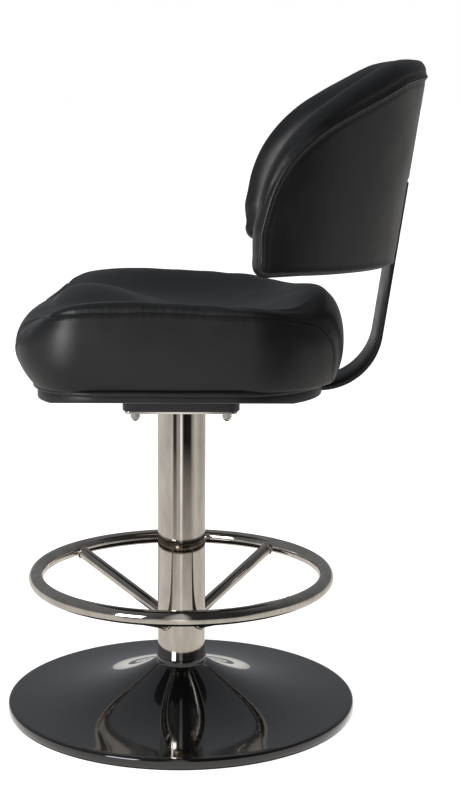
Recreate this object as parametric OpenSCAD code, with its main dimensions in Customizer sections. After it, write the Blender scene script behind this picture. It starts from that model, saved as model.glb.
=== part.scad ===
// Fixed-height swivel counter stool with a padded seat, a wrap-around padded back,
// a polished column, a ring footrest and a weighted trumpet base.
// Millimetres. +Z is up, the sitter faces -Y, and the origin is on the column's axis at the floor.

/* [Base] */
// Diameter of the base cover's rim
base_d = 515; // [480:5:540]
// Height of the rolled rim above the floor
rim_h = 16; // [13:1:20]
// Height of the cover's collar, where it meets the column
neck_h = 79; // [72:1:90]
// Thickness of the cast ballast disc
weight_t = 10; // [8:1:16]

/* [Column] */
// Outer diameter of the column tube
column_d = 70; // [68:0.5:72]
// Wall of the column tube
column_wall = 2; // [1.5:0.25:2]
// Height of the top of the column tube
column_top = 457; // [430:1:480]

/* [Footrest] */
// Outer diameter of the footrest hoop
hoop_d = 450; // [430:5:470]
// Diameter of the hoop's tube
hoop_tube = 22; // [18:1:26]
// Height of the hoop's centre line
hoop_z = 202; // [190:1:240]
// Diameter of each strut
strut_d = 18; // [14:1:18]
// Height at which a strut's centre line leaves the column
strut_foot_z = 121; // [115:1:130]
// Turn of the four struts from the diagonal
strut_turn = 4.5; // [0:0.5:10]

/* [Swivel] */
// Diameter of the swivel spindle
spindle_d = 30; // [25:1:32]
// Radial running gap between the spindle and its bushes
run_gap = 0.05; // [0.02:0.01:0.1]
// Side of the square top plate
plate_w = 160; // [156:1:164]
// Thickness of the top plate
plate_t = 3.5; // [3:0.5:4]
// Side of the pressed tray above the plate
tray_w = 166; // [160:1:170]

/* [Seat] */
// Width of the cushion at its widest
seat_w = 444; // [430:2:450]
// Front end of the cushion
seat_front = -236; // [-240:1:-230]
// Rear end of the cushion
seat_rear = 233; // [230:1:238]
// Height of the cushion's crown
seat_top = 638; // [630:1:645]
// Thickness of the cover material
cover_t = 2.2; // [1.5:0.1:3]
// Thickness of the plywood board
board_t = 12; // [9:1:15]
// Width of the plastic pan under the seat
pan_w = 430; // [420:2:436]

/* [Back] */
// Outside radius of the wrap-around back
back_r = 245; // [240:1:250]
// Thickness of the padded back
back_t = 46; // [40:1:50]
// Lean of the back and its bracket, in degrees
back_lean = 8.3; // [7.5:0.1:9]
// Height of the lower edge of the back at its wings
back_bottom = 670; // [660:1:680]
// Height of the top of the back
back_top = 956; // [940:1:970]
// Width of the cover's border that is turned over the edge
back_border = 22; // [18:1:26]
// Width of the flat bar that carries the back
bar_w = 100; // [80:5:110]
// Thickness of the flat bar
bar_t = 6; // [5:0.5:8]

/* [Hidden] */
$fn = 96;

// Base
rim_r = base_d / 2;
rim_round = 4;
cover_sheet = 1.6;
foot_ring_t = 3;
collar_r = column_d / 2 + 1.8;
collar_drop = 8;
flare_points = 22;
weight_top = foot_ring_t + weight_t;
weight_hub_r = 58;
weight_hub_h = 10;
column_foot_z = weight_top + weight_hub_h;

// Footrest tubes
ring_wall = 1.5;

// Column bolt, an M16 hexagon head screw
m16_r = 8;
m16_head_af = 24;
m16_head_h = 10;
m16_washer_t = 2;
m16_seat_z = 17;

// Swivel
bore_r = column_d / 2 - column_wall;
spindle_r = spindle_d / 2;
bush_r = spindle_r + run_gap;
plate_z = column_top + 2;
plate_top = plate_z + plate_t;
lower_bush_z = 350;
bush_len = 34;
groove_z = lower_bush_z - 3.2;
groove_h = 1.8;
groove_depth = 1.5;
spindle_foot_z = groove_z - 12;

// Stack between the top plate and the seat
tray_h = 25.5;
tray_wall = 3;
tray_top = plate_top + tray_h;
bar_z = tray_top;
pan_z = bar_z + bar_t;
pan_wall = 3;
board_z = pan_z + pan_wall;
board_top = board_z + board_t;
bolt_pitch = 130;
m8_r = 4;
m8_hole_r = 4.5;
m8_head_af = 13;
m8_head_h = 5.3;
seat_bolt_x = 35;
seat_bolt_y = 50;

// Seat
pan_rim_z = 514;
pan_side_z = 501;
pan_flat_x = 182;
pan_front = -197;
pan_rear = 197;
pan_front_corner = 90;
pan_rear_corner = 128;
pan_lip_w = 4;
side_seam_x = 196;

// Back: the outline is drawn from the side, in Y and Z
wing_front = 96;
wing_arc_r = 190;
wing_arc_z = 726;
crown_arc_r = 60;
crown_arc_y = 312;
wing_corner_r = 14;
outline_rear = 460;
bar_bend_r = 90;
bar_bend_y = 196.5;
bend_z = bar_z + bar_bend_r;
bar_top_z = 784;
bar_rise = (bar_top_z - bend_z) / cos(back_lean) + bar_bend_r * tan(back_lean);
bar_front_y = -70;
bend_steps = 24;
// Distance from the back's axis to the bar's rear face
bar_face_r = back_r - 4;
bar_in_r = bar_face_r - bar_t;
shell_out_r = bar_in_r;
shell_t = 10;
back_axis_y = bar_bend_y + bar_bend_r / cos(back_lean) - bar_face_r / cos(back_lean);
back_screw_h = [708, 760];
back_screw_x = 32;

// Small helpers

module ring(r_out, r_in, z0, z1) {
  translate([0, 0, z0])
    difference() {
      cylinder(r = r_out, h = z1 - z0);
      translate([0, 0, -1]) cylinder(r = r_in, h = z1 - z0 + 2);
    }
}

// Hexagonal prism across flats af, standing on z0
module hex(af, h, z0) {
  translate([0, 0, z0]) cylinder(r = af / 2 / cos(30), h = h, $fn = 6);
}

// Outline of the pan, drawn d inside its edge; its rear corners are rounder than its front ones
module pan_plan(d) {
  hull()
    for (s = [-1, 1]) {
      translate([s * (pan_w / 2 - pan_front_corner), pan_front + pan_front_corner])
        circle(r = pan_front_corner - d);
      translate([s * (pan_w / 2 - pan_rear_corner), pan_rear - pan_rear_corner])
        circle(r = pan_rear_corner - d);
    }
}

// Square plate with exact round corners, from z0 to z1
module square_plate(w, r, z0, z1) {
  translate([0, 0, z0])
    union() {
      translate([-w / 2 + r, -w / 2, 0]) cube([w - 2 * r, w, z1 - z0]);
      translate([-w / 2, -w / 2 + r, 0]) cube([w, w - 2 * r, z1 - z0]);
      for (x = [-1, 1], y = [-1, 1])
        translate([x * (w / 2 - r), y * (w / 2 - r), 0]) cylinder(r = r, h = z1 - z0);
    }
}

// Places its children at the four corners of a rectangle
module at_corners(dx, dy) {
  for (x = [-1, 1], y = [-1, 1]) translate([x * dx, y * dy, 0]) children();
}

// Extrudes a Y-Z outline along X, centred, over the width w
module along_x(w) {
  rotate([90, 0, 90]) translate([0, 0, -w / 2]) linear_extrude(height = w) children();
}

// Extrudes an X-Z outline along Y, over y0 to y1
module along_y(y0, y1) {
  translate([0, y1, 0]) rotate([90, 0, 0]) linear_extrude(height = y1 - y0) children();
}

// Base

// Height of the flare's outer face at radius r
function flare_t(r) = (rim_r - rim_round - r) / (rim_r - rim_round - collar_r);
function flare_z(r) =
  rim_h + (neck_h - collar_drop - rim_h) * (0.1 * flare_t(r) + 0.9 * pow(flare_t(r), 2.6));
function flare_r(i) = rim_r - rim_round - (rim_r - rim_round - collar_r) * i / flare_points;

module base_cover() {
  color([0.03, 0.03, 0.035])
    rotate_extrude()
      difference() {
        polygon(concat(
          [[rim_r, foot_ring_t], [rim_r, rim_h - rim_round]],
          [for (a = [15:15:75]) [rim_r - rim_round * (1 - cos(a)), rim_h - rim_round * (1 - sin(a))]],
          [for (i = [0:flare_points]) [flare_r(i), flare_z(flare_r(i))]],
          [[collar_r, neck_h], [column_d / 2, neck_h], [column_d / 2, foot_ring_t]]
        ));
        polygon(concat(
          [[rim_r - cover_sheet, 0], [rim_r - cover_sheet, rim_h - rim_round - 1]],
          [[rim_r - rim_round - 1, rim_h - cover_sheet]],
          [for (i = [1:flare_points - 1]) [flare_r(i), flare_z(flare_r(i)) - cover_sheet]],
          [[column_d / 2, flare_z(collar_r) - 2.5], [0, flare_z(collar_r) - 2.5], [0, 0]]
        ));
      }
}

module base_weight() {
  color("dimgray")
    difference() {
      union() {
        translate([0, 0, foot_ring_t]) cylinder(r = rim_r - 12, h = weight_t - 3);
        translate([0, 0, foot_ring_t]) cylinder(r = rim_r - 60, h = weight_t);
        translate([0, 0, foot_ring_t]) cylinder(r = weight_hub_r, h = weight_t + weight_hub_h);
      }
      translate([0, 0, -1]) cylinder(r = 22, h = m16_seat_z + 1);
      translate([0, 0, -1]) cylinder(r = m16_r + 0.5, h = 60);
    }
}

module base_foot_ring() {
  color([0.05, 0.05, 0.05])
    rotate_extrude()
      polygon([
        [rim_r - 30, 0], [rim_r - 2.5, 0], [rim_r - 1.8, 0.8], [rim_r - 1.8, foot_ring_t],
        [rim_r - 3, foot_ring_t], [rim_r - 3, 9], [rim_r - 6, 9], [rim_r - 6, foot_ring_t],
        [rim_r - 30, foot_ring_t]
      ]);
}

// Column

module column_tube() {
  color("silver") ring(column_d / 2, bore_r, column_foot_z, column_top);
}

module column_foot_plug() {
  color("gray") ring(bore_r, m16_r, column_foot_z, column_foot_z + 18);
}

module column_washer() {
  color("gray") ring(17, m16_r + 0.3, m16_seat_z - m16_washer_t, m16_seat_z);
}

module column_bolt() {
  color("darkgray") {
    hex(m16_head_af, m16_head_h, m16_seat_z - m16_washer_t - m16_head_h);
    translate([0, 0, m16_seat_z - m16_washer_t - 1]) cylinder(r = m16_r, h = 28);
  }
}

// Footrest

module hoop_torus(d) {
  translate([0, 0, hoop_z]) rotate_extrude() translate([(hoop_d - hoop_tube) / 2, 0]) circle(d = d);
}

module footring_hoop() {
  color("silver")
    difference() {
      hoop_torus(hoop_tube);
      hoop_torus(hoop_tube - 2 * ring_wall);
    }
}

// A strut rises from the column to the hoop's inner side and is mitred to both
module footring_strut(i) {
  run = (hoop_d - hoop_tube) / 2;
  rise = hoop_z - strut_foot_z;
  reach = norm([run, rise]);
  pitch = atan2(rise, run);
  color("silver")
    difference() {
      rotate([0, 0, 45 + strut_turn + 90 * (i - 1)])
        translate([0, 0, strut_foot_z])
          rotate([0, 90 - pitch, 0])
            translate([0, 0, 12]) ring(strut_d / 2, strut_d / 2 - ring_wall, 0, reach - 12);
      translate([0, 0, strut_foot_z - 60]) cylinder(d = column_d, h = 240);
      hoop_torus(hoop_tube);
    }
}

// Swivel

module upper_bush() {
  color("sienna") ring(bore_r, bush_r, column_top - bush_len, column_top);
}

module lower_bush() {
  color("sienna") ring(bore_r, bush_r, lower_bush_z, lower_bush_z + bush_len);
}

module thrust_washer() {
  color("white") ring(column_d / 2 - 1, spindle_r + 1, column_top, plate_z - 0.2);
}

module spindle() {
  color("gray")
    difference() {
      translate([0, 0, spindle_foot_z]) cylinder(r = spindle_r, h = plate_top - spindle_foot_z);
      ring(spindle_r + 5, spindle_r - groove_depth, groove_z, groove_z + groove_h);
    }
}

module spindle_circlip() {
  clip_z = groove_z + 0.2;
  clip_t = groove_h - 0.4;
  color("black")
    difference() {
      ring(spindle_r + 4, spindle_r - groove_depth, clip_z, clip_z + clip_t);
      translate([0, -6, clip_z - 1]) cube([40, 12, clip_t + 2]);
    }
}

module top_plate() {
  color("silver")
    difference() {
      square_plate(plate_w, 8, plate_z, plate_top);
      translate([0, 0, plate_z - 1]) cylinder(r = spindle_r, h = plate_t + 2);
      at_corners(bolt_pitch / 2, bolt_pitch / 2)
        translate([0, 0, plate_z - 1]) cylinder(r = m8_hole_r, h = plate_t + 2);
    }
}

// Pressed tray, open below, that stands on the top plate
module mount_tray() {
  color([0.04, 0.04, 0.04])
    difference() {
      square_plate(tray_w, 16, plate_top, tray_top);
      difference() {
        square_plate(tray_w - 2 * tray_wall, 13, plate_top - 1, tray_top - tray_wall);
        at_corners(bolt_pitch / 2, bolt_pitch / 2)
          translate([0, 0, plate_top]) cylinder(r = 9, h = tray_h);
      }
      at_corners(bolt_pitch / 2, bolt_pitch / 2)
        translate([0, 0, plate_top - 1]) cylinder(r = m8_hole_r, h = tray_h + 2);
      at_corners(seat_bolt_x, seat_bolt_y)
        translate([0, 0, plate_top]) cylinder(r = m8_hole_r, h = tray_h + 2);
    }
}

// Carriage bolts: a low domed head on the tray and a shank down to the dome nuts
module plate_bolts() {
  color("silver")
    at_corners(bolt_pitch / 2, bolt_pitch / 2) {
      translate([0, 0, plate_z - 9]) cylinder(r = m8_r, h = tray_top - plate_z + 9 + 1);
      translate([0, 0, tray_top])
        intersection() {
          translate([0, 0, -8.6]) sphere(r = 12.4);
          cylinder(r = 9, h = 6);
        }
    }
}

module plate_washers() {
  color("silver")
    at_corners(bolt_pitch / 2, bolt_pitch / 2) ring(8, m8_hole_r, plate_z - 1.6, plate_z);
}

module plate_dome_nuts() {
  nut_top = plate_z - 1.6;
  color("silver")
    at_corners(bolt_pitch / 2, bolt_pitch / 2)
      difference() {
        union() {
          hex(m8_head_af, 5.5, nut_top - 5.5);
          translate([0, 0, nut_top - 5.5]) sphere(r = 5.8);
        }
        translate([0, 0, plate_z - 9]) cylinder(r = m8_r, h = 12);
      }
}

// Back bracket: one flat bar that runs back under the seat and bends up behind it

// Point of the bar's side outline at radius r and angle a of the bend
function bend_point(r, a) = [bar_bend_y + r * sin(a), bend_z - r * cos(a)];
function bar_end_point(r) =
  bend_point(r, 90 - back_lean) + bar_rise * [sin(back_lean), cos(back_lean)];

module bar() {
  r_in = bar_bend_r - bar_t;
  turn = 90 - back_lean;
  along_x(bar_w)
    polygon(concat(
      [[bar_front_y, bar_z]],
      [for (i = [0:bend_steps]) bend_point(bar_bend_r, turn * i / bend_steps)],
      [bar_end_point(bar_bend_r), bar_end_point(r_in)],
      [for (i = [bend_steps:-1:0]) bend_point(r_in, turn * i / bend_steps)],
      [[bar_front_y, bar_z + bar_t]]
    ));
}

module back_bracket() {
  color([0.06, 0.06, 0.065])
    difference() {
      bar();
      at_corners(seat_bolt_x, seat_bolt_y)
        translate([0, 0, bar_z - 5]) cylinder(r = m8_hole_r, h = 20);
      at_back_screws() translate([0, 0, -1]) cylinder(r = 3.3, h = 20);
      at_back_screws() translate([0, 0, -1]) cylinder(r1 = 7.6, r2 = 2.6, h = 5);
    }
}

// Fixings under the seat

module bracket_seat_bolts() {
  under = tray_top - tray_wall;
  color("dimgray")
    at_corners(seat_bolt_x, seat_bolt_y) {
      hex(m8_head_af, m8_head_h, under - m8_head_h);
      translate([0, 0, under]) cylinder(r = m8_r, h = board_top - 2 - under);
    }
}

module seat_tee_nuts() {
  color("gray")
    at_corners(seat_bolt_x, seat_bolt_y)
      difference() {
        union() {
          translate([0, 0, board_z + 1]) cylinder(r = 5.5, h = board_t - 1);
          translate([0, 0, board_top - 1.5]) cylinder(r = 10, h = 1.5);
        }
        translate([0, 0, board_z]) cylinder(r = m8_r, h = board_t + 2);
      }
}

// Seat

// Dished plastic pan: its floor rises a little to the sides
module pan_blank(inset) {
  half = pan_w / 2 - inset;
  intersection() {
    translate([0, 0, pan_z + inset])
      linear_extrude(height = pan_rim_z - pan_z)
        pan_plan(inset);
    along_y(pan_front - 10, pan_rear + 10)
      polygon([
        [-half - 1, pan_rim_z + inset], [-half - 1, pan_side_z + inset], [-pan_flat_x, pan_z + inset],
        [pan_flat_x, pan_z + inset], [half + 1, pan_side_z + inset], [half + 1, pan_rim_z + inset]
      ]);
  }
}

// Lip round the pan's rim, under the edge of the cushion
module pan_lip() {
  translate([0, 0, pan_rim_z - 3])
    linear_extrude(height = 3)
      pan_plan(-pan_lip_w);
}

module seat_pan() {
  color([0.09, 0.09, 0.1])
    difference() {
      union() {
        pan_blank(0);
        pan_lip();
      }
      pan_blank(pan_wall);
      at_corners(seat_bolt_x, seat_bolt_y) translate([0, 0, pan_z - 1]) cylinder(r = m8_hole_r, h = 8);
      at_pan_screws() translate([0, 0, pan_z - 1]) cylinder(r = 2.4, h = 8);
      bar();
    }
}

module at_pan_screws() {
  for (x = [-150, 150], y = [-130, 140]) translate([x, y, 0]) children();
}

module pan_screws() {
  color("dimgray")
    at_pan_screws() {
      translate([0, 0, pan_z]) cylinder(r = 2.1, h = pan_wall + 9);
      translate([0, 0, pan_z - 2.2]) cylinder(r = 4.5, h = 2.2);
    }
}

module seat_board() {
  color("burlywood")
    difference() {
      intersection() {
        translate([0, 0, board_z])
          linear_extrude(height = board_t)
            pan_plan(12);
        pan_blank(pan_wall);
      }
      at_corners(seat_bolt_x, seat_bolt_y) translate([0, 0, board_z - 1]) cylinder(r = 5.5, h = board_t + 2);
      at_corners(seat_bolt_x, seat_bolt_y) translate([0, 0, board_top - 1.5]) cylinder(r = 10, h = 3);
      at_pan_screws() translate([0, 0, board_z - 1]) cylinder(r = 2.1, h = 10);
    }
}

// The cushion is where its side view, its front view and its plan meet
module seat_side_view(d) {
  hull() {
    translate([seat_front + 36, 556]) circle(r = 36 - d);
    translate([-150, 585]) circle(r = 50 - d);
    translate([-90, seat_top - 45]) circle(r = 45 - d);
    translate([168, seat_top - 50]) circle(r = 42 - d);
    translate([seat_rear - 45, 558]) circle(r = 45 - d);
    translate([pan_front + 6 + d, board_top]) square([pan_rear - pan_front - 12 - 2 * d, 1]);
  }
}

module seat_front_view(d) {
  hull() {
    for (s = [-1, 1]) {
      translate([s * (seat_w / 2 - 40), 560]) circle(r = 40 - d);
      translate([s * (seat_w / 2 - 44), seat_top - 35]) circle(r = 35 - d);
    }
    translate([-pan_w / 2 + 5 + d, board_top]) square([pan_w - 10 - 2 * d, 1]);
  }
}

module cushion(d) {
  intersection() {
    along_x(seat_w + 20) seat_side_view(d);
    along_y(seat_front - 10, seat_rear + 10) seat_front_view(d);
    translate([0, 0, board_top - 1])
      linear_extrude(height = 200)
        hull() {
          for (s = [-1, 1]) {
            translate([s * (seat_w / 2 - 95), seat_front + 100]) circle(r = 95 - d);
            translate([s * (seat_w / 2 - 125), seat_rear - 125]) circle(r = 125 - d);
          }
          translate([0, seat_front + 100]) circle(r = 100 - d);
        }
    translate([-300, -300, board_top]) cube([600, 600, 200]);
  }
}

// What lies beside the pan's hollow, up to its rim
module beside_pan() {
  difference() {
    translate([-300, -300, board_z]) cube([600, 600, pan_rim_z + 0.3 - board_z]);
    translate([0, 0, board_z - 1])
      linear_extrude(height = 40)
        pan_plan(pan_wall);
  }
}

module seat_foam() {
  color("khaki")
    difference() {
      cushion(cover_t);
      beside_pan();
    }
}

// The cover shows only above the pan's rim
module cushion_cover() {
  difference() {
    cushion(0);
    cushion(cover_t);
    translate([-300, -300, board_z]) cube([600, 600, pan_rim_z + 0.3 - board_z]);
  }
}

module seat_top_cover() {
  color([0.11, 0.11, 0.12])
    intersection() {
      cushion_cover();
      translate([-side_seam_x, -300, 400]) cube([2 * side_seam_x, 600, 300]);
    }
}

// side is 1 for the sitter's left and -1 for the right
module seat_side_cover(side) {
  color([0.11, 0.11, 0.12])
    intersection() {
      cushion_cover();
      translate([side > 0 ? side_seam_x : -side_seam_x - 100, -300, 400]) cube([100, 600, 300]);
    }
}

// Back

// Side outline of the back, drawn d inside its edge
module back_outline(d) {
  union() {
    difference() {
      hull() {
        translate([wing_front + wing_arc_r, wing_arc_z]) circle(r = wing_arc_r - d);
        translate([crown_arc_y, back_top - crown_arc_r]) circle(r = crown_arc_r - d);
        translate([outline_rear, back_top - crown_arc_r]) circle(r = crown_arc_r - d);
      }
      translate([0, 400]) square([700, wing_arc_z - 400]);
    }
    hull() {
      translate([wing_front + max(wing_corner_r, d + 1), back_bottom + max(wing_corner_r, d + 1)])
        circle(r = max(1, wing_corner_r - d));
      translate([wing_front + d, wing_arc_z - 10]) square([300, 10.01]);
      translate([outline_rear, back_bottom - 4 + d]) square([10, 20]);
    }
  }
}

// A layer of the back between two radii, d inside the edge
module back_layer(r_in, r_out, d) {
  intersection() {
    translate([0, back_axis_y, bend_z])
      rotate([-back_lean, 0, 0])
        difference() {
          translate([0, 0, -10]) cylinder(r = r_out, h = 460);
          translate([0, 0, -11]) cylinder(r = r_in, h = 462);
        }
    along_x(600) back_outline(d);
  }
}

// Groove, open to the rear, that lets the bar into the back
module bar_groove() {
  translate([0, bar_bend_y, bend_z])
    rotate([-back_lean, 0, 0])
      translate([-bar_w / 2, bar_bend_r - bar_t, 20]) cube([bar_w, 40, bar_rise - 20]);
}

module at_back_screws() {
  for (x = [-1, 1], h = back_screw_h)
    translate([x * back_screw_x, bar_bend_y, bend_z])
      rotate([-back_lean, 0, 0])
        translate([0, bar_bend_r, (h - bend_z) / cos(back_lean) + bar_bend_r * tan(back_lean)])
          rotate([90, 0, 0]) children();
}

module back_shell() {
  color("burlywood")
    difference() {
      back_layer(shell_out_r - shell_t, shell_out_r, back_border - 2);
      at_back_screws() translate([0, 0, 2]) cylinder(r = 4.5, h = 40);
    }
}

module back_foam() {
  color("khaki")
    difference() {
      back_layer(back_r - back_t + cover_t, back_r - cover_t, cover_t);
      back_layer(shell_out_r - shell_t, back_r + 5, back_border - 2);
      bar_groove();
      at_back_screws() translate([0, 0, bar_t + 4]) cylinder(r = 10, h = 20);
    }
}

module back_front_cover() {
  color([0.11, 0.11, 0.12])
    difference() {
      back_layer(back_r - back_t, back_r, 0);
      back_layer(back_r - back_t + cover_t, back_r - cover_t, cover_t);
      back_layer(shell_out_r - shell_t, back_r + 5, back_border);
      bar_groove();
    }
}

module back_rear_cover() {
  color([0.12, 0.12, 0.13])
    difference() {
      back_layer(shell_out_r, back_r, back_border);
      bar_groove();
      at_back_screws() cylinder(r = 5, h = 20);
    }
}

// Countersunk screws through the bar into tee nuts on the inside of the shell
module back_screws() {
  color("dimgray")
    at_back_screws() {
      cylinder(r1 = 6.4, r2 = 3.2, h = 3.2);
      translate([0, 0, 1]) cylinder(r = 3, h = bar_t + 14);
    }
}

module back_tee_nuts() {
  color("gray")
    at_back_screws()
      difference() {
        union() {
          translate([0, 0, bar_t + 3]) cylinder(r = 4.5, h = 11);
          translate([0, 0, bar_t + 13.9]) cylinder(r = 9, h = 1.4);
        }
        cylinder(r = 3, h = 60);
      }
}

base_cover();
base_weight();
base_foot_ring();
column_tube();
column_foot_plug();
column_bolt();
column_washer();
footring_hoop();
footring_strut(1);  // footring_strut_1
footring_strut(2);  // footring_strut_2
footring_strut(3);  // footring_strut_3
footring_strut(4);  // footring_strut_4
upper_bush();
lower_bush();
thrust_washer();
spindle();
spindle_circlip();
top_plate();
mount_tray();
plate_bolts();
plate_washers();
plate_dome_nuts();
back_bracket();
bracket_seat_bolts();
seat_tee_nuts();
seat_pan();
pan_screws();
seat_board();
seat_foam();
seat_top_cover();
seat_side_cover(1);  // seat_side_cover_left
seat_side_cover(-1);  // seat_side_cover_right
back_shell();
back_foam();
back_front_cover();
back_rear_cover();
back_screws();
back_tee_nuts();
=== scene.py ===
"""Looks of a swivel counter stool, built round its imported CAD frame.

The padded pieces are made in mesh code, blown up a little as cloth and sewn afterwards.
The metal and plastic pieces are turned, extruded and bevelled from primitives.
"""

import logging
import math
from dataclasses import dataclass, field
from enum import Enum
from typing import Callable, Iterable, Sequence

import bmesh
import bpy
import numpy as np
from mathutils import Matrix, Vector
from mathutils.bvhtree import BVHTree
from mathutils.kdtree import KDTree

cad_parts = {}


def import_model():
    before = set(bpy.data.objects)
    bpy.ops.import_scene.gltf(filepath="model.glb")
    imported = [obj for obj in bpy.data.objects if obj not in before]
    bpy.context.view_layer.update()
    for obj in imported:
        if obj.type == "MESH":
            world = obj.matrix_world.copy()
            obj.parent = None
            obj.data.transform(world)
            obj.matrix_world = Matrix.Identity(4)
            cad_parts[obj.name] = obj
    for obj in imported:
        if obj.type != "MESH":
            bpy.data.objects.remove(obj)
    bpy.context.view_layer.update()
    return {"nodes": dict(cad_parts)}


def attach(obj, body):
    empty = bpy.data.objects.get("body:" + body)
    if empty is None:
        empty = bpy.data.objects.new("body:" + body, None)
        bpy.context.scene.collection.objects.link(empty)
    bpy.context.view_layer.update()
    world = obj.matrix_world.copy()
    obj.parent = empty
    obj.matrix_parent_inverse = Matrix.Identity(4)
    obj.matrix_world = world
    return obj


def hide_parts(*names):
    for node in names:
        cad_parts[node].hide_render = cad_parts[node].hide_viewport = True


log = logging.getLogger("stool")
Piece, Tree, Socket = bpy.types.Object, bpy.types.NodeTree, bpy.types.NodeSocket
MM = 0.001
CLOTH_QUALITY, CLOTH_FRAMES = 4, 20
# Exponent of the padded edges' cross-section: a little squarer than a circle
EDGE_POWER = 2 / 2.2
# The puckers beside a seam are two waves: length in millimetres, phase and share
PUCKERS = ((8.8, 0.0, 0.6), (13.7, 1.3, 0.4))
SEAM_STEP_MM = 1.5


class Body(str, Enum):
    """The two CAD bodies: what stands on the floor and what swivels."""

    STAND = "stand"
    SEAT = "seat"


class Slot(str, Enum):
    """Material slots."""

    ENAMEL = "black_enamel"
    IRON = "cast_iron"
    RUBBER = "black_rubber"
    STAINLESS = "polished_stainless"
    ZINC = "zinc_steel"
    OXIDE = "black_oxide_steel"
    BRONZE = "bush_bronze"
    ACETAL = "white_acetal"
    POWDER = "black_powder_coat"
    PLASTIC = "grained_black_plastic"
    PLYWOOD = "plywood"
    VINYL = "black_vinyl"


# ---------------------------------------------------------------- colour and nodes


def srgb(code: str) -> tuple[float, float, float, float]:
    """Turns an sRGB hex colour to linear.

    Args:
        code: six hex digits.

    Returns:
        Linear red, green, blue and an alpha of one.
    """
    parts = [int(code[i : i + 2], 16) / 255 for i in (0, 2, 4)]
    linear = [c / 12.92 if c <= 0.04045 else ((c + 0.055) / 1.055) ** 2.4 for c in parts]
    return (linear[0], linear[1], linear[2], 1.0)


def add(tree: Tree, kind: str, feeds: dict | None = None, **settings) -> bpy.types.Node:
    """Adds a node, sets its settings and feeds its inputs.

    Args:
        tree: the node tree.
        kind: the node's type name.
        feeds: input name or number, to a value or to another node's output socket.
        **settings: attributes of the node.

    Returns:
        The new node.
    """
    node = tree.nodes.new(kind)
    for name, value in settings.items():
        setattr(node, name, value)
    for name, value in (feeds or {}).items():
        if isinstance(value, Socket):
            tree.links.new(value, node.inputs[name])
        else:
            node.inputs[name].default_value = value
    return node


def per_mm(size_mm: float) -> float:
    """Scale of a procedural pattern whose cells are size_mm wide."""
    return 1000.0 / size_mm


def noise(tree: Tree, place: Socket, size_mm: float, **levels: float) -> Socket:
    """Adds a noise pattern.

    Args:
        tree: the node tree.
        place: the point on the object.
        size_mm: the size of the pattern's cells.
        **levels: the noise node's other inputs.

    Returns:
        The pattern's socket.
    """
    return add(tree, "ShaderNodeTexNoise", {"Vector": place, "Scale": per_mm(size_mm), **levels}).outputs["Fac"]


def bump(tree: Tree, height: Socket, depth_mm: float) -> bpy.types.Node:
    """Adds a bump node that raises a pattern by depth_mm."""
    return add(tree, "ShaderNodeBump", {"Height": height, "Strength": 1.0, "Distance": depth_mm * MM})


@dataclass(frozen=True)
class Finish:
    """A surface finish: a principled shader with a pattern in its colour, gloss and relief.

    The relief is a sum of a fine grain and a slower unevenness, both in real millimetres.
    """

    name: str
    slot: Slot
    dark: str
    light: str
    roughness: tuple[float, float]
    metallic: float = 0.0
    ior: float = 1.5
    mottle_mm: float = 40.0
    grain_mm: float = 0.0
    grain_depth_mm: float = 0.0
    wave_mm: float = 0.0
    wave_depth_mm: float = 0.0
    stretch: tuple[float, float, float] = (1.0, 1.0, 1.0)
    cells: bool = False
    coat: float = 0.0
    coat_roughness: float = 0.03
    sheen: float = 0.0
    specular: float = 0.5

    def build(self) -> bpy.types.Material:
        """Builds the material.

        Returns:
            The material, named for what it is and how it was made.
        """
        material = bpy.data.materials.new(self.name)
        material.use_nodes = True
        tree = material.node_tree
        tree.nodes.clear()
        place = add(tree, "ShaderNodeTexCoord").outputs["Object"]
        place = add(tree, "ShaderNodeMapping", {"Vector": place, "Scale": self.stretch}).outputs[0]
        mottle = noise(tree, place, self.mottle_mm, Detail=3.0, Roughness=0.6)
        middle = {"Value": mottle, "From Min": 0.32, "From Max": 0.68}
        spread = add(tree, "ShaderNodeMapRange", middle).outputs["Result"]
        shades = {"Factor": spread, 6: srgb(self.dark), 7: srgb(self.light)}
        colour = add(tree, "ShaderNodeMix", shades, data_type="RGBA").outputs[2]
        low, high = self.roughness
        levels = {"Value": mottle, "From Min": 0.3, "From Max": 0.7, "To Min": low, "To Max": high}
        gloss = add(tree, "ShaderNodeMapRange", levels).outputs["Result"]
        feeds = {"Base Color": colour, "Roughness": gloss, "Metallic": self.metallic}
        shader = add(tree, "ShaderNodeBsdfPrincipled", feeds)
        if self.metallic < 0.5:
            shader.inputs["IOR"].default_value = self.ior
            shader.inputs["Specular IOR Level"].default_value = self.specular
        shader.inputs["Coat Weight"].default_value = self.coat
        shader.inputs["Coat Roughness"].default_value = self.coat_roughness
        shader.inputs["Sheen Weight"].default_value = self.sheen
        relief = self.relief(tree, place)
        if relief is not None:
            tree.links.new(relief, shader.inputs["Normal"])
            if self.coat > 0:
                tree.links.new(relief, shader.inputs["Coat Normal"])
        add(tree, "ShaderNodeOutputMaterial", {"Surface": shader.outputs[0]})
        return material

    def relief(self, tree: Tree, place: Socket) -> Socket | None:
        """Adds the bump nodes.

        Args:
            tree: the material's node tree.
            place: the socket that gives the point on the object.

        Returns:
            The normal to use, or None for a surface with no relief.
        """
        normal = None
        if self.wave_depth_mm > 0:
            wave = noise(tree, place, self.wave_mm, Detail=1.0)
            normal = bump(tree, wave, self.wave_depth_mm).outputs[0]
        if self.grain_depth_mm > 0:
            if self.cells:
                feeds = {"Vector": place, "Scale": per_mm(self.grain_mm)}
                grain = add(tree, "ShaderNodeTexVoronoi", feeds, feature="SMOOTH_F1").outputs["Distance"]
            else:
                grain = noise(tree, place, self.grain_mm, Detail=2.0, Roughness=0.6)
            relief = bump(tree, grain, self.grain_depth_mm)
            if normal is not None:
                tree.links.new(normal, relief.inputs["Normal"])
            normal = relief.outputs[0]
        return normal


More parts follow.
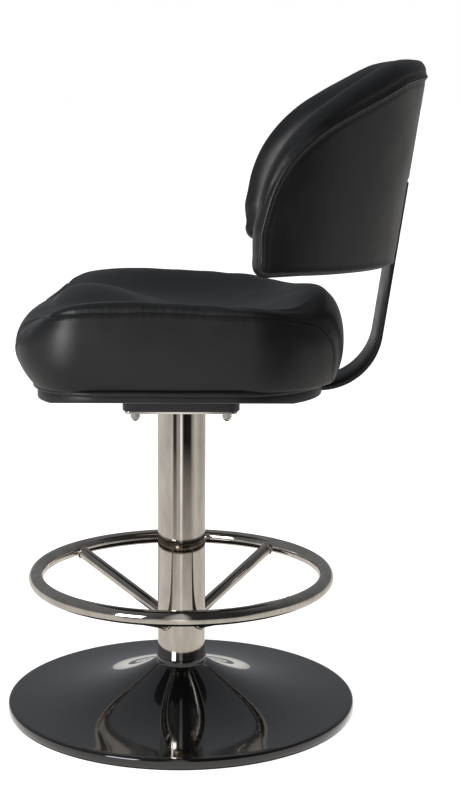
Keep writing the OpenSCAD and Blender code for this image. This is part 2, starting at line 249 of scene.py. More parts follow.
FINISHES: dict[Slot, Finish] = {
    f.slot: f
    for f in (
        # Stoved enamel on spun steel: a deep wet gloss with a very slight orange peel
        Finish("gloss black stoved enamel", Slot.ENAMEL, "050506", "090a0b", (0.05, 0.09), coat=1.0,
               coat_roughness=0.02, wave_mm=14, wave_depth_mm=0.012, mottle_mm=90),
        # As-cast grey iron, primed: dull and pitted
        Finish("grey iron as cast", Slot.IRON, "2c2c2d", "3a3a3b", (0.6, 0.75), grain_mm=2.5, grain_depth_mm=0.3),
        # Moulded rubber: matt, with a faint bloom
        Finish("black moulded rubber", Slot.RUBBER, "101011", "1a1a1b", (0.7, 0.85), grain_mm=2, grain_depth_mm=0.05),
        # Mirror-polished stainless: warm grey, with faint polishing haze along the tube
        Finish("stainless steel mirror polished", Slot.STAINLESS, "bdb6ad", "d2ccc4", (0.035, 0.075), metallic=1.0,
               mottle_mm=22, stretch=(1, 1, 0.35), wave_mm=60, wave_depth_mm=0.02),
        # Bright zinc on turned steel: paler and softer than stainless
        Finish("bright zinc plated steel", Slot.ZINC, "a9a9a6", "cfcfcb", (0.16, 0.3), metallic=1.0, mottle_mm=4),
        # Black oxide on steel: oily dark grey
        Finish("black oxide steel", Slot.OXIDE, "121213", "242426", (0.35, 0.5), metallic=0.6, mottle_mm=5),
        # Sintered bronze, oiled: warm and dull, with fine pores
        Finish("sintered bronze", Slot.BRONZE, "7a5a32", "96703f", (0.35, 0.5), metallic=1.0, grain_mm=0.8,
               grain_depth_mm=0.03, mottle_mm=6),
        # Turned acetal: milky white and waxy
        Finish("turned white acetal", Slot.ACETAL, "d8d8d2", "e6e6e0", (0.3, 0.4), mottle_mm=12),
        # Powder coat: satin black with a fine pebble that sparkles on edges, drawn 1.4 mm wide so that it shows
        Finish("satin black powder coat", Slot.POWDER, "101112", "1c1d1f", (0.34, 0.46), grain_mm=1.4,
               grain_depth_mm=0.06, mottle_mm=25, specular=0.6),
        # Moulded ABS with a spark-eroded grain, drawn 1.5 mm wide so that it shows
        Finish("moulded grained ABS", Slot.PLASTIC, "141517", "1d1e21", (0.38, 0.5), grain_mm=1.5,
               grain_depth_mm=0.07, mottle_mm=30, cells=True),
        # Rotary-cut birch plywood: pale, with long grain along the board
        Finish("birch plywood", Slot.PLYWOOD, "a98456", "c9a678", (0.55, 0.7), mottle_mm=5, stretch=(0.15, 1, 3),
               grain_mm=1.2, grain_depth_mm=0.04),
        # Coated vinyl, embossed with a fine hide grain drawn 1.5 mm wide so that it shows: soft satin black
        Finish("embossed black vinyl", Slot.VINYL, "0f1011", "17181a", (0.36, 0.46), ior=1.5, grain_mm=1.5,
               grain_depth_mm=0.05, cells=True, wave_mm=45, wave_depth_mm=0.35, mottle_mm=70, sheen=0.03),
    )
}

# Bonded polyester thread: black, slightly shinier than the vinyl it is sewn through
THREAD = Finish("bonded black thread", Slot.VINYL, "08080a", "111114", (0.5, 0.6), mottle_mm=3, sheen=0.1)
# Painted shade: the fold that a seam pulls down between two panels, drawn as the same vinyl made darker to stand for
# the shade in it
SEAM_SHADE = Finish("vinyl seam painted in shade", Slot.VINYL, "040405", "070708", (0.6, 0.7), mottle_mm=5)


class Paintbox:
    """Builds each material once and puts it on pieces."""

    def __init__(self) -> None:
        """Starts with no materials built."""
        self.made: dict[str, bpy.types.Material] = {}

    def get(self, finish: Finish) -> bpy.types.Material:
        """Returns the finish's material, building it the first time."""
        if finish.name not in self.made:
            self.made[finish.name] = finish.build()
        return self.made[finish.name]

    def dress(self, piece: Piece, finish: Finish) -> None:
        """Puts the finish on every face of the piece."""
        piece.data.materials.clear()
        piece.data.materials.append(self.get(finish))
        for polygon in piece.data.polygons:
            polygon.material_index = 0

    def dress_node(self, node: Piece, finish: Finish) -> None:
        """Puts the finish on a kept CAD node's material slots."""
        if not node.material_slots:
            node.data.materials.append(None)
        for material_slot in node.material_slots:
            material_slot.link = "OBJECT"
            material_slot.material = self.get(finish)


# ---------------------------------------------------------------- modelling by hand


def clear_selection() -> None:
    """Deselects every object and leaves object mode."""
    if bpy.context.object and bpy.context.object.mode != "OBJECT":
        bpy.ops.object.mode_set(mode="OBJECT")
    bpy.ops.object.select_all(action="DESELECT")


def take_up(piece: Piece) -> None:
    """Makes the piece the only selected and the active object."""
    clear_selection()
    piece.select_set(True)
    bpy.context.view_layer.objects.active = piece


def named(name: str) -> Piece:
    """Names the object that was just added and returns it."""
    piece = bpy.context.object
    piece.name = name
    piece.data.name = name
    return piece


def edit(piece: Piece) -> None:
    """Opens the piece in edit mode with nothing selected."""
    take_up(piece)
    bpy.ops.object.mode_set(mode="EDIT")
    bpy.ops.mesh.select_all(action="DESELECT")


def pick(piece: Piece, what: str, test: Callable[..., bool]) -> None:
    """Selects the faces, edges or points that pass a test, in edit mode.

    Args:
        piece: the piece that is open in edit mode.
        what: "EDGE" or "FACE".
        test: takes a BMesh element and says whether it is selected.
    """
    bpy.ops.mesh.select_mode(type=what)
    bpy.ops.mesh.select_all(action="DESELECT")
    mesh = bmesh.from_edit_mesh(piece.data)
    parts = {"EDGE": mesh.edges, "FACE": mesh.faces}[what]
    for part in [part for part in parts if test(part)]:
        part.select_set(True)
    mesh.select_flush_mode()
    bmesh.update_edit_mesh(piece.data)


def close_up(piece: Piece, smooth_degrees: float | None = 35.0, merge: float = 1e-6) -> None:
    """Merges doubles, points the faces outwards, applies the place and shades the piece smooth.

    Args:
        piece: the piece, in either mode.
        smooth_degrees: edges sharper than this stay sharp; None leaves the shading alone.
        merge: distance under which points are merged, in metres.
    """
    take_up(piece)
    bpy.ops.object.mode_set(mode="EDIT")
    bpy.ops.mesh.select_mode(type="VERT")
    bpy.ops.mesh.select_all(action="SELECT")
    bpy.ops.mesh.remove_doubles(threshold=merge)
    bpy.ops.mesh.normals_make_consistent(inside=False)
    bpy.ops.object.mode_set(mode="OBJECT")
    bpy.ops.object.transform_apply(location=True, rotation=True, scale=True)
    if smooth_degrees is not None:
        bpy.ops.object.shade_smooth_by_angle(angle=math.radians(smooth_degrees))


def turned(name: str, profile: Sequence[tuple[float, float]], steps: int, smooth_degrees: float = 35.0) -> Piece:
    """Turns a side profile round the column's axis, like work on a lathe.

    Args:
        name: the piece's name.
        profile: radius and height of each point in millimetres, as a closed loop.
        steps: how many steps go round.
        smooth_degrees: edges sharper than this stay sharp.

    Returns:
        The turned piece.
    """
    clear_selection()
    bpy.ops.mesh.primitive_plane_add(size=MM, location=(0, 0, 0))
    piece = named(name)
    bpy.ops.object.mode_set(mode="EDIT")
    bpy.ops.mesh.select_all(action="SELECT")
    bpy.ops.mesh.merge(type="CENTER")
    start = profile[0]
    bpy.ops.transform.translate(value=(start[0] * MM, 0, start[1] * MM))
    loop = list(profile) + [start]
    for a, b in zip(loop, loop[1:]):
        bpy.ops.mesh.extrude_vertices_move(
            TRANSFORM_OT_translate={"value": ((b[0] - a[0]) * MM, 0, (b[1] - a[1]) * MM)}
        )
    bpy.ops.mesh.select_all(action="SELECT")
    bpy.ops.mesh.remove_doubles(threshold=1e-7)
    bpy.ops.mesh.select_all(action="SELECT")
    bpy.ops.mesh.spin(steps=steps, angle=2 * math.pi, center=(0, 0, 0), axis=(0, 0, 1))
    close_up(piece, smooth_degrees)
    return piece


def bevel_edges(piece: Piece, test: Callable[..., bool], width_mm: float, segments: int) -> None:
    """Rounds the edges that pass a test.

    Args:
        piece: the piece to round.
        test: takes a BMesh edge and says whether it is rounded.
        width_mm: the rounding's size.
        segments: how many faces the rounding has.
    """
    edit(piece)
    pick(piece, "EDGE", test)
    bpy.ops.mesh.bevel(offset=width_mm * MM, segments=segments, affect="EDGES", clamp_overlap=True)
    bpy.ops.object.mode_set(mode="OBJECT")


def block(name: str, low: Sequence[float], high: Sequence[float]) -> Piece:
    """Adds a block between two corners in millimetres, as the start of a piece.

    Args:
        name: the piece's name.
        low: lowest corner.
        high: highest corner.

    Returns:
        The block, with its place in its mesh.
    """
    clear_selection()
    middle = [(a + b) / 2 * MM for a, b in zip(low, high)]
    side = [(b - a) * MM for a, b in zip(low, high)]
    bpy.ops.mesh.primitive_cube_add(size=1, location=middle)
    piece = named(name)
    piece.scale = side
    bpy.ops.object.transform_apply(location=True, rotation=True, scale=True)
    return piece


def upright(edge: bmesh.types.BMEdge) -> bool:
    """Says whether an edge stands straight up."""
    a, b = (v.co for v in edge.verts)
    return abs(a.x - b.x) < 1e-6 and abs(a.y - b.y) < 1e-6 and abs(a.z - b.z) > 1e-6


def joined(pieces: Sequence[Piece]) -> Piece:
    """Joins pieces into the first one and returns it."""
    clear_selection()
    for piece in pieces:
        piece.select_set(True)
    bpy.context.view_layer.objects.active = pieces[0]
    bpy.ops.object.join()
    return pieces[0]


def from_arrays(name: str, points: np.ndarray, faces: Iterable[Sequence[int]]) -> Piece:
    """Makes a mesh object from points in metres and faces.

    Args:
        name: the piece's name.
        points: N by 3 array.
        faces: point numbers of each face.

    Returns:
        The object, linked to the scene and shaded smooth.
    """
    mesh = bpy.data.meshes.new(name)
    mesh.from_pydata(points.tolist(), [], [list(map(int, f)) for f in faces])
    mesh.update()
    piece = bpy.data.objects.new(name, mesh)
    bpy.context.scene.collection.objects.link(piece)
    mesh.polygons.foreach_set("use_smooth", [True] * len(mesh.polygons))
    return piece


def subdivide(piece: Piece, levels: int) -> None:
    """Applies a subdivision surface to the piece."""
    take_up(piece)
    smooth = piece.modifiers.new("subdivision", "SUBSURF")
    smooth.levels = smooth.render_levels = levels
    bpy.ops.object.modifier_apply(modifier=smooth.name)


def points_of(piece: Piece) -> np.ndarray:
    """Returns the piece's points as an N by 3 array in metres."""
    flat = np.zeros(len(piece.data.vertices) * 3, np.float64)
    piece.data.vertices.foreach_get("co", flat)
    return flat.reshape(-1, 3)


def normals_of(piece: Piece) -> np.ndarray:
    """Returns the piece's point normals as an N by 3 array."""
    flat = np.zeros(len(piece.data.vertices) * 3, np.float32)
    piece.data.vertices.foreach_get("normal", flat)
    return flat.reshape(-1, 3).astype(float)


def move_points(piece: Piece, points: np.ndarray) -> None:
    """Puts the piece's points at new places."""
    piece.data.vertices.foreach_set("co", points.astype(np.float32).ravel())
    piece.data.update()


def settle(piece: Piece, body: Body, finish: Finish, paints: Paintbox, replaces: Sequence[str] = ()) -> None:
    """Dresses a new piece, ties it to its body and hides the CAD nodes it stands for.

    Args:
        piece: the finished piece.
        body: the CAD body it rides on.
        finish: its finish, which also names its slot.
        paints: the built materials.
        replaces: CAD nodes that aren't shown any more.
    """
    paints.dress(piece, finish)
    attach(piece, body.value)
    if replaces:
        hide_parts(*replaces)
    log.info("%s: %d faces on %s", piece.name, len(piece.data.polygons), body.value)


# ---------------------------------------------------------------- curves and cloth


def even_steps(points: np.ndarray, count: int) -> np.ndarray:
    """Resamples an open line to evenly spaced points.

    Args:
        points: N by k array along the line.
        count: how many points to return, ends included.

    Returns:
        count by k array.
    """
    gaps = np.linalg.norm(np.diff(points, axis=0), axis=1)
    run = np.concatenate([[0.0], np.cumsum(gaps)])
    at = np.linspace(0, run[-1], count)
    return np.stack([np.interp(at, run, points[:, k]) for k in range(points.shape[1])], 1)


def flowing(points: Sequence[Sequence[float]], per_gap: int = 12) -> np.ndarray:
    """Draws a smooth line through points (centripetal Catmull-Rom).

    Args:
        points: the points to pass through, open at both ends.
        per_gap: how many points to add between each two.

    Returns:
        The smooth line.
    """
    p = np.array(points, float)
    p = np.vstack([2 * p[0] - p[1], p, 2 * p[-1] - p[-2]])
    out = []
    for i in range(1, len(p) - 2):
        t = np.linspace(0, 1, per_gap, endpoint=False)[:, None]
        a, b, c, d = p[i - 1], p[i], p[i + 1], p[i + 2]
        out.append(0.5 * (2 * b + (c - a) * t + (2 * a - 5 * b + 4 * c - d) * t**2 + (3 * b - a - 3 * c + d) * t**3))
    out.append(p[-2][None])
    return np.vstack(out)


def loop_normals(loop: np.ndarray) -> np.ndarray:
    """Outward unit normals of a closed flat loop that runs anticlockwise.

    Args:
        loop: N by 2 array, its first point not repeated.

    Returns:
        N by 2 array.
    """
    along = np.roll(loop, -1, 0) - np.roll(loop, 1, 0)
    for _ in range(3):
        along = (np.roll(along, 1, 0) + 2 * along + np.roll(along, -1, 0)) / 4
    out = np.stack([along[:, 1], -along[:, 0]], 1)
    return out / np.linalg.norm(out, axis=1)[:, None]


@dataclass
class PadTopology:
    """A closed pad: a grid for its face, rings round its edge and a grid for its underside.

    Both grids are across by up cells, and each ring has as many points as a grid's border.
    """

    across: int
    up: int

    @property
    def around(self) -> int:
        """Points once round the border."""
        return 2 * (self.across + self.up)

    def border(self) -> list[int]:
        """Numbers of a grid's border points, anticlockwise from its first corner."""
        n, m = self.across, self.up
        order = [(i, 0) for i in range(n)] + [(n, j) for j in range(m)]
        order += [(i, m) for i in range(n, 0, -1)] + [(0, j) for j in range(m, 0, -1)]
        return [i * (m + 1) + j for i, j in order]

    def fill(self, loop: np.ndarray) -> np.ndarray:
        """Fills a border with a grid that runs smoothly between its four sides.

        Args:
            loop: the border's points, N by k.

        Returns:
            (across + 1) * (up + 1) by k array.
        """
        n, m = self.across, self.up
        front, right = loop[: n + 1], loop[n : n + m + 1]
        rear = loop[n + m : 2 * n + m + 1][::-1]
        left = np.vstack([loop[2 * n + m :], loop[:1]])[::-1]
        u = np.linspace(0, 1, n + 1)[:, None, None]
        v = np.linspace(0, 1, m + 1)[None, :, None]
        grid = (1 - v) * front[:, None] + v * rear[:, None] + (1 - u) * left[None] + u * right[None]
        grid = grid - (
            (1 - u) * (1 - v) * front[0] + u * (1 - v) * front[-1] + (1 - u) * v * rear[0] + u * v * rear[-1]
        )
        return grid.reshape(-1, loop.shape[1])

    def assemble(self, name: str, face: np.ndarray, rings: Sequence[np.ndarray], under: np.ndarray) -> Piece:
        """Makes the closed mesh.

        Args:
            name: the piece's name.
            face: the face grid's points in metres.
            rings: the rings between the two grids, from the face's side.
            under: the underside grid's points.

        Returns:
            The mesh object.
        """
        n, m = self.across, self.up
        cells = [
            (i * (m + 1) + j, (i + 1) * (m + 1) + j, (i + 1) * (m + 1) + j + 1, i * (m + 1) + j + 1)
            for i in range(n)
            for j in range(m)
        ]
        size = (n + 1) * (m + 1)
        border = self.border()
        loops = [border]
        for k in range(len(rings)):
            first = size + k * self.around
            loops.append(list(range(first, first + self.around)))
        base = size + len(rings) * self.around
        loops.append([base + b for b in border])
        faces = list(cells)
        for upper, lower in zip(loops, loops[1:]):
            for s in range(self.around):
                t = (s + 1) % self.around
                faces.append((upper[s], lower[s], lower[t], upper[t]))
        faces += [tuple(base + v for v in reversed(cell)) for cell in cells]
        return from_arrays(name, np.vstack([face, *rings, under]), faces)


def plump(piece: Piece, held: np.ndarray, pressure: float, cap_mm: float) -> None:
    """Blows a closed cover up a little as cloth, so that its panels crown between their seams.

    Args:
        piece: the closed cover.
        held: one number for each point: 1 where it is sewn down, 0 where it is free.
        pressure: the Cloth modifier's pressure.
        cap_mm: the furthest that a point may move.
    """
    start = points_of(piece)
    group = piece.vertex_groups.new(name="sewn")
    for value in np.unique(np.round(held, 2)):
        chosen = np.nonzero(np.round(held, 2) == value)[0]
        group.add([int(i) for i in chosen], float(value), "REPLACE")
    take_up(piece)
    cloth = piece.modifiers.new("cover", "CLOTH")
    settings = cloth.settings
    settings.quality = CLOTH_QUALITY
    settings.mass = 0.4
    settings.tension_stiffness = settings.compression_stiffness = 25
    settings.shear_stiffness = 12
    settings.bending_stiffness = 2
    settings.use_pressure = True
    settings.uniform_pressure_force = pressure
    settings.effector_weights.gravity = 0
    settings.vertex_group_mass = group.name
    cloth.collision_settings.use_collision = False
    cloth.collision_settings.use_self_collision = False
    cloth.point_cache.frame_start, cloth.point_cache.frame_end = 1, CLOTH_FRAMES
    for frame_number in range(1, CLOTH_FRAMES + 1):
        bpy.context.scene.frame_set(frame_number)
    bpy.ops.object.modifier_apply(modifier=cloth.name)
    bpy.context.scene.frame_set(1)
    shift = points_of(piece) - start
    far = np.linalg.norm(shift, axis=1)
    soft = cap_mm * MM * np.tanh(far / (cap_mm * MM)) / np.maximum(far, 1e-9)
    move_points(piece, start + shift * soft[:, None])
    piece.vertex_groups.clear()
    log.info("%s: cloth moved it by up to %.1f mm", piece.name, far.max() * 1000)


@dataclass
class Seam:
    """A line sewn on a cover: its points on the surface and the surface's normals there."""

    points: np.ndarray
    normals: np.ndarray

    @staticmethod
    def laid(path: np.ndarray, piece: Piece) -> "Seam":
        """Lays a line on a piece.

        Args:
            path: points near the surface, in metres.
            piece: the cover.

        Returns:
            The seam.
        """
        tree = BVHTree.FromObject(piece, bpy.context.evaluated_depsgraph_get())
        length = np.linalg.norm(np.diff(path, axis=0), axis=1).sum()
        line = even_steps(path, max(8, int(length / (SEAM_STEP_MM * MM))))
        hits = [tree.find_nearest(Vector(p)) for p in line]
        points = np.array([list(h[0]) for h in hits])
        normals = np.array([list(h[1]) for h in hits])
        kernel = np.ones(7) / 7
        pad = 3
        for a in (points, normals):
            for k in range(3):
                wide = np.concatenate([[a[0, k]] * pad, a[:, k], [a[-1, k]] * pad])
                a[:, k] = np.convolve(wide, kernel, "valid")
        normals /= np.linalg.norm(normals, axis=1)[:, None]
        return Seam(points, normals)

    def beside(self, away_mm: float, piece: Piece, towards: np.ndarray) -> "Seam":
        """Lays a second line beside this one.

        Args:
            away_mm: distance between the two lines.
            piece: the cover.
            towards: the side it lies on, as a point in metres.

        Returns:
            The second line.
        """
        along = np.gradient(self.points, axis=0)
        along /= np.linalg.norm(along, axis=1)[:, None]
        left = np.cross(self.normals, along)
        sign = np.sign(np.median(np.sum(left * (towards - self.points), 1)))
        return Seam.laid(self.points + left * sign * away_mm * MM, piece)

    def mirrored(self) -> "Seam":
        """Returns the same line on the other side of the stool."""
        flip = np.array([-1.0, 1.0, 1.0])
        return Seam(self.points * flip, self.normals * flip)


def sew_down(piece: Piece, seams: Sequence[Seam], depth_mm: float, width_mm: float,
             pucker_mm: float, pucker_at_mm: float) -> None:
    """Draws a cover in along its seams, with small puckers beside them.

    Args:
        piece: the cover.
        seams: the lines to draw in.
        depth_mm: how deep the line sinks.
        width_mm: how wide the dip is.
        pucker_mm: height of the puckers.
        pucker_at_mm: distance of the puckers from the line.
    """
    line = np.vstack([s.points for s in seams])
    run = np.concatenate([np.arange(len(s.points)) * SEAM_STEP_MM for s in seams])
    tree = KDTree(len(line))
    for i, p in enumerate(line):
        tree.insert(Vector(p), i)
    tree.balance()
    points, normals = points_of(piece), normals_of(piece)
    for i, p in enumerate(points):
        _, near, far = tree.find(Vector(p))
        far *= 1000
        if far > 4 * width_mm + pucker_at_mm:
            continue
        dip = depth_mm * math.exp(-((far / width_mm) ** 2))
        wave = sum(share * math.sin(run[near] * 2 * math.pi / length + phase) for length, phase, share in PUCKERS)
        fold = pucker_mm * wave * math.exp(-(((far - pucker_at_mm) / 3.2) ** 2))
        swell = 0.3 * depth_mm * math.exp(-(((far - 2.6 * width_mm) / (1.2 * width_mm)) ** 2))
        points[i] += normals[i] * (fold + swell - dip) * MM
    move_points(piece, points)


def seam_shade_cord(name: str, seam: Seam, radius_mm: float, lift_mm: float) -> Piece:
    """Makes a thin round line along a seam, half sunk in the cover: the dark cord that stands for the painted shade
    in the seam's fold.

    Args:
        name: the piece's name.
        seam: the line to follow.
        radius_mm: the line's radius.
        lift_mm: how far its centre stands off the cover.

    Returns:
        The line as a closed tube.
    """
    sides = 6
    along = np.gradient(seam.points, axis=0)
    along /= np.linalg.norm(along, axis=1)[:, None]
    across = np.cross(along, seam.normals)
    across /= np.linalg.norm(across, axis=1)[:, None]
    up = np.cross(across, along)
    centre = seam.points + seam.normals * lift_mm * MM
    rings = []
    for k in range(sides):
        a = 2 * math.pi * k / sides
        rings.append(centre + (across * math.cos(a) + up * math.sin(a)) * radius_mm * MM)
    count = len(centre)
    points = np.stack(rings, 1).reshape(-1, 3)
    faces = [
        (i * sides + k, i * sides + (k + 1) % sides, (i + 1) * sides + (k + 1) % sides, (i + 1) * sides + k)
        for i in range(count - 1)
        for k in range(sides)
    ]
    faces += [tuple(range(sides))[::-1], tuple((count - 1) * sides + k for k in range(sides))]
    piece = from_arrays(name, points, faces)
    close_up(piece, 60, merge=1e-7)
    return piece


def stitches(
    name: str, seam: Seam, length_mm: float = 3.0, pitch_mm: float = 4.4, radius_mm: float = 0.5
) -> Piece:
    """Lays a row of stitches along a line: each a short thread whose ends dive into the cover.

    Args:
        name: the piece's name.
        seam: the line to follow.
        length_mm: length of each stitch.
        pitch_mm: distance from one stitch to the next.
        radius_mm: radius of the thread.

    Returns:
        All the stitches of the row as one piece.
    """
    gaps = np.linalg.norm(np.diff(seam.points, axis=0), axis=1)
    run = np.concatenate([[0.0], np.cumsum(gaps)]) * 1000
    starts = np.arange(pitch_mm, run[-1] - pitch_mm, pitch_mm)
    # Along the stitch, its height over the cover and its thickness
    shape = [(-0.5, -0.7, 0.45), (-0.32, 0.1, 0.9), (0.0, 0.4, 1.0), (0.32, 0.1, 0.9), (0.5, -0.7, 0.45)]
    sides = 5
    points, faces = [], []
    for start in starts:
        first = len(points)
        for along, lift, thick in shape:
            at = start + along * length_mm
            p = np.array([np.interp(at, run, seam.points[:, k]) for k in range(3)])
            q = np.array([np.interp(at + 0.5, run, seam.points[:, k]) for k in range(3)])
            n = np.array([np.interp(at, run, seam.normals[:, k]) for k in range(3)])
            t = q - p
            t /= max(np.linalg.norm(t), 1e-9)
            side = np.cross(t, n)
            side /= max(np.linalg.norm(side), 1e-9)
            for k in range(sides):
                a = 2 * math.pi * k / sides
                points.append(p + (n * (lift + thick * math.sin(a)) + side * thick * math.cos(a)) * radius_mm * MM)
        for r in range(len(shape) - 1):
            for k in range(sides):
                a, b = first + r * sides + k, first + r * sides + (k + 1) % sides
                faces.append((a, b, b + sides, a + sides))
        last = first + (len(shape) - 1) * sides
        faces.append([first + k for k in range(sides)][::-1])
        faces.append([last + k for k in range(sides)])
    piece = from_arrays(name, np.array(points), faces)
    close_up(piece, 60, merge=1e-7)
    return piece


# ---------------------------------------------------------------- metal and plastic


@dataclass
class TrumpetBase:
    """The spun steel base cover; its ballast and foot ring are CAD nodes. Millimetres."""

    rim_r: float = 257.5
    rim_h: float = 16.0
    rim_round: float = 4.0
    sheet: float = 1.6
    collar_r: float = 36.8
    collar_low: float = 71.0
    top: float = 79.0
    bore_r: float = 35.05
    skirt_z: float = 3.0
    flare_points: int = 44

    def flare(self, r: float) -> float:
        """Height of the flare's outer face at radius r."""
        reach = self.rim_r - self.rim_round
        t = (reach - r) / (reach - self.collar_r)
        return self.rim_h + (self.collar_low - self.rim_h) * (0.1 * t + 0.9 * t**2.6)

    def profile(self) -> list[tuple[float, float]]:
        """Returns the closed side profile, from the rim's foot over the top and back inside."""
        r, h, c = self.rim_r, self.rim_h, self.rim_round
        line = [(r - 0.5, self.skirt_z), (r, self.skirt_z + 0.6), (r, h - c)]
        line += [
            (r - c * (1 - math.cos(math.radians(a))), h - c * (1 - math.sin(math.radians(a))))
            for a in (15, 30, 45, 60, 75)
        ]
        radii = [r - c - (r - c - self.collar_r) * i / self.flare_points for i in range(self.flare_points)]
        line += [(q, self.flare(q)) for q in radii]
        # The neck turns up into a short collar with a rolled edge
        line += [(self.collar_r + 0.25, self.collar_low - 1.5), (self.collar_r, self.collar_low + 1.0)]
        line += [(self.collar_r, self.top - 0.9), (self.collar_r - 0.3, self.top - 0.2)]
        line += [(self.collar_r - 0.9, self.top)]
        line += [(self.bore_r, self.top), (self.bore_r, self.collar_low - 4)]
        line += [(q, self.flare(q) - self.sheet) for q in reversed(radii[3:-1])]
        line += [(r - self.sheet, h - c - 1), (r - self.sheet, self.skirt_z)]
        return line

    def build(self, paints: Paintbox) -> None:
        """Turns the cover and dresses it."""
        cover = turned("base_trumpet_cover", self.profile(), 192, 40)
        settle(cover, Body.STAND, FINISHES[Slot.ENAMEL], paints, ["base_cover"])


@dataclass
class Column:
    """The polished column tube. Millimetres."""

    r: float = 35.0
    wall: float = 2.0
    low: float = 23.0
    high: float = 457.0
    edge: float = 0.5

    def build(self, paints: Paintbox) -> None:
        """Turns the tube and dresses it."""
        inner, e = self.r - self.wall, self.edge
        profile = [(self.r, self.low), (self.r, self.high - e), (self.r - e, self.high)]
        profile += [(inner, self.high), (inner, self.low)]
        tube = turned("column_tube_polished", profile, 160)
        settle(tube, Body.STAND, FINISHES[Slot.STAINLESS], paints, ["column_tube"])


@dataclass
class Footrest:
    """The hoop and its four struts, with the weld beads where they meet. Millimetres."""

    hoop_r: float = 214.0
    tube_r: float = 11.0
    hoop_z: float = 202.0
    strut_r: float = 9.0
    foot_z: float = 121.0
    column_r: float = 35.0
    turn: float = 49.5
    # Each strut's weld beads: distance from its end, how far past its surface, and thickness
    foot_bead: tuple[float, float, float] = (4.2, 0.3, 1.7)
    hoop_bead: tuple[float, float, float] = (4.0, 0.2, 1.4)
    # How far the strut runs into the column and into the hoop
    into_column: float = 3.0
    into_hoop: float = 2.5

    def hoop(self, paints: Paintbox) -> None:
        """Bends the hoop and leaves the low polished bead of its butt weld."""
        clear_selection()
        bpy.ops.mesh.primitive_torus_add(
            major_radius=self.hoop_r * MM, minor_radius=self.tube_r * MM,
            major_segments=224, minor_segments=28, location=(0, 0, self.hoop_z * MM),
        )
        piece = named("footrest_hoop")
        weld = math.radians(self.turn + 90)
        beads = [piece]
        at = (self.hoop_r * math.cos(weld) * MM, self.hoop_r * math.sin(weld) * MM, self.hoop_z * MM)
        bpy.ops.mesh.primitive_torus_add(
            major_radius=(self.tube_r - 0.6) * MM, minor_radius=0.9 * MM, major_segments=28, minor_segments=8,
            location=at, rotation=(math.pi / 2, 0, weld),
        )
        beads.append(named("hoop_weld"))
        piece = joined(beads)
        close_up(piece, 60)
        settle(piece, Body.STAND, FINISHES[Slot.STAINLESS], paints, ["footring_hoop"])

    def strut(self, number: int, paints: Paintbox) -> None:
        """Cuts one strut between the column and the hoop, with a weld bead at each end.

        Args:
            number: 1 to 4, as the CAD nodes are numbered.
            paints: the built materials.
        """
        spin = math.radians(self.turn + 90 * (number - 1))
        rise = self.hoop_z - self.foot_z
        reach = math.hypot(self.hoop_r, rise)
        out = Vector((self.hoop_r / reach, 0, rise / reach))
        start = (self.column_r - self.into_column) / out.x
        end = reach - self.tube_r + self.into_hoop
        tilt = math.acos(out.z)
        middle = Vector((0, 0, self.foot_z)) + out * (start + end) / 2
        where = Matrix.Rotation(spin, 3, "Z") @ middle * MM
        turn = (Matrix.Rotation(spin, 3, "Z") @ Matrix.Rotation(tilt, 3, "Y")).to_euler()
        clear_selection()
        bpy.ops.mesh.primitive_cylinder_add(
            vertices=36, radius=self.strut_r * MM, depth=(end - start) * MM, location=where, rotation=turn
        )
        parts = [named(f"footrest_strut_{number}")]
        for way, (inset, proud, thick) in ((1, self.foot_bead), (-1, self.hoop_bead)):
            along, radius = (start if way > 0 else end) + way * inset, self.strut_r + proud
            where = Matrix.Rotation(spin, 3, "Z") @ (Vector((0, 0, self.foot_z)) + out * along) * MM
            bpy.ops.mesh.primitive_torus_add(
                major_radius=radius * MM, minor_radius=thick * MM, major_segments=36, minor_segments=10,
                location=where, rotation=turn,
            )
            parts.append(named("bead"))
        piece = joined(parts)
        close_up(piece, 50)
        settle(piece, Body.STAND, FINISHES[Slot.STAINLESS], paints, [f"footring_strut_{number}"])

    def build(self, paints: Paintbox) -> None:
        """Builds the hoop and the struts."""
        self.hoop(paints)
        for number in range(1, 5):
            self.strut(number, paints)


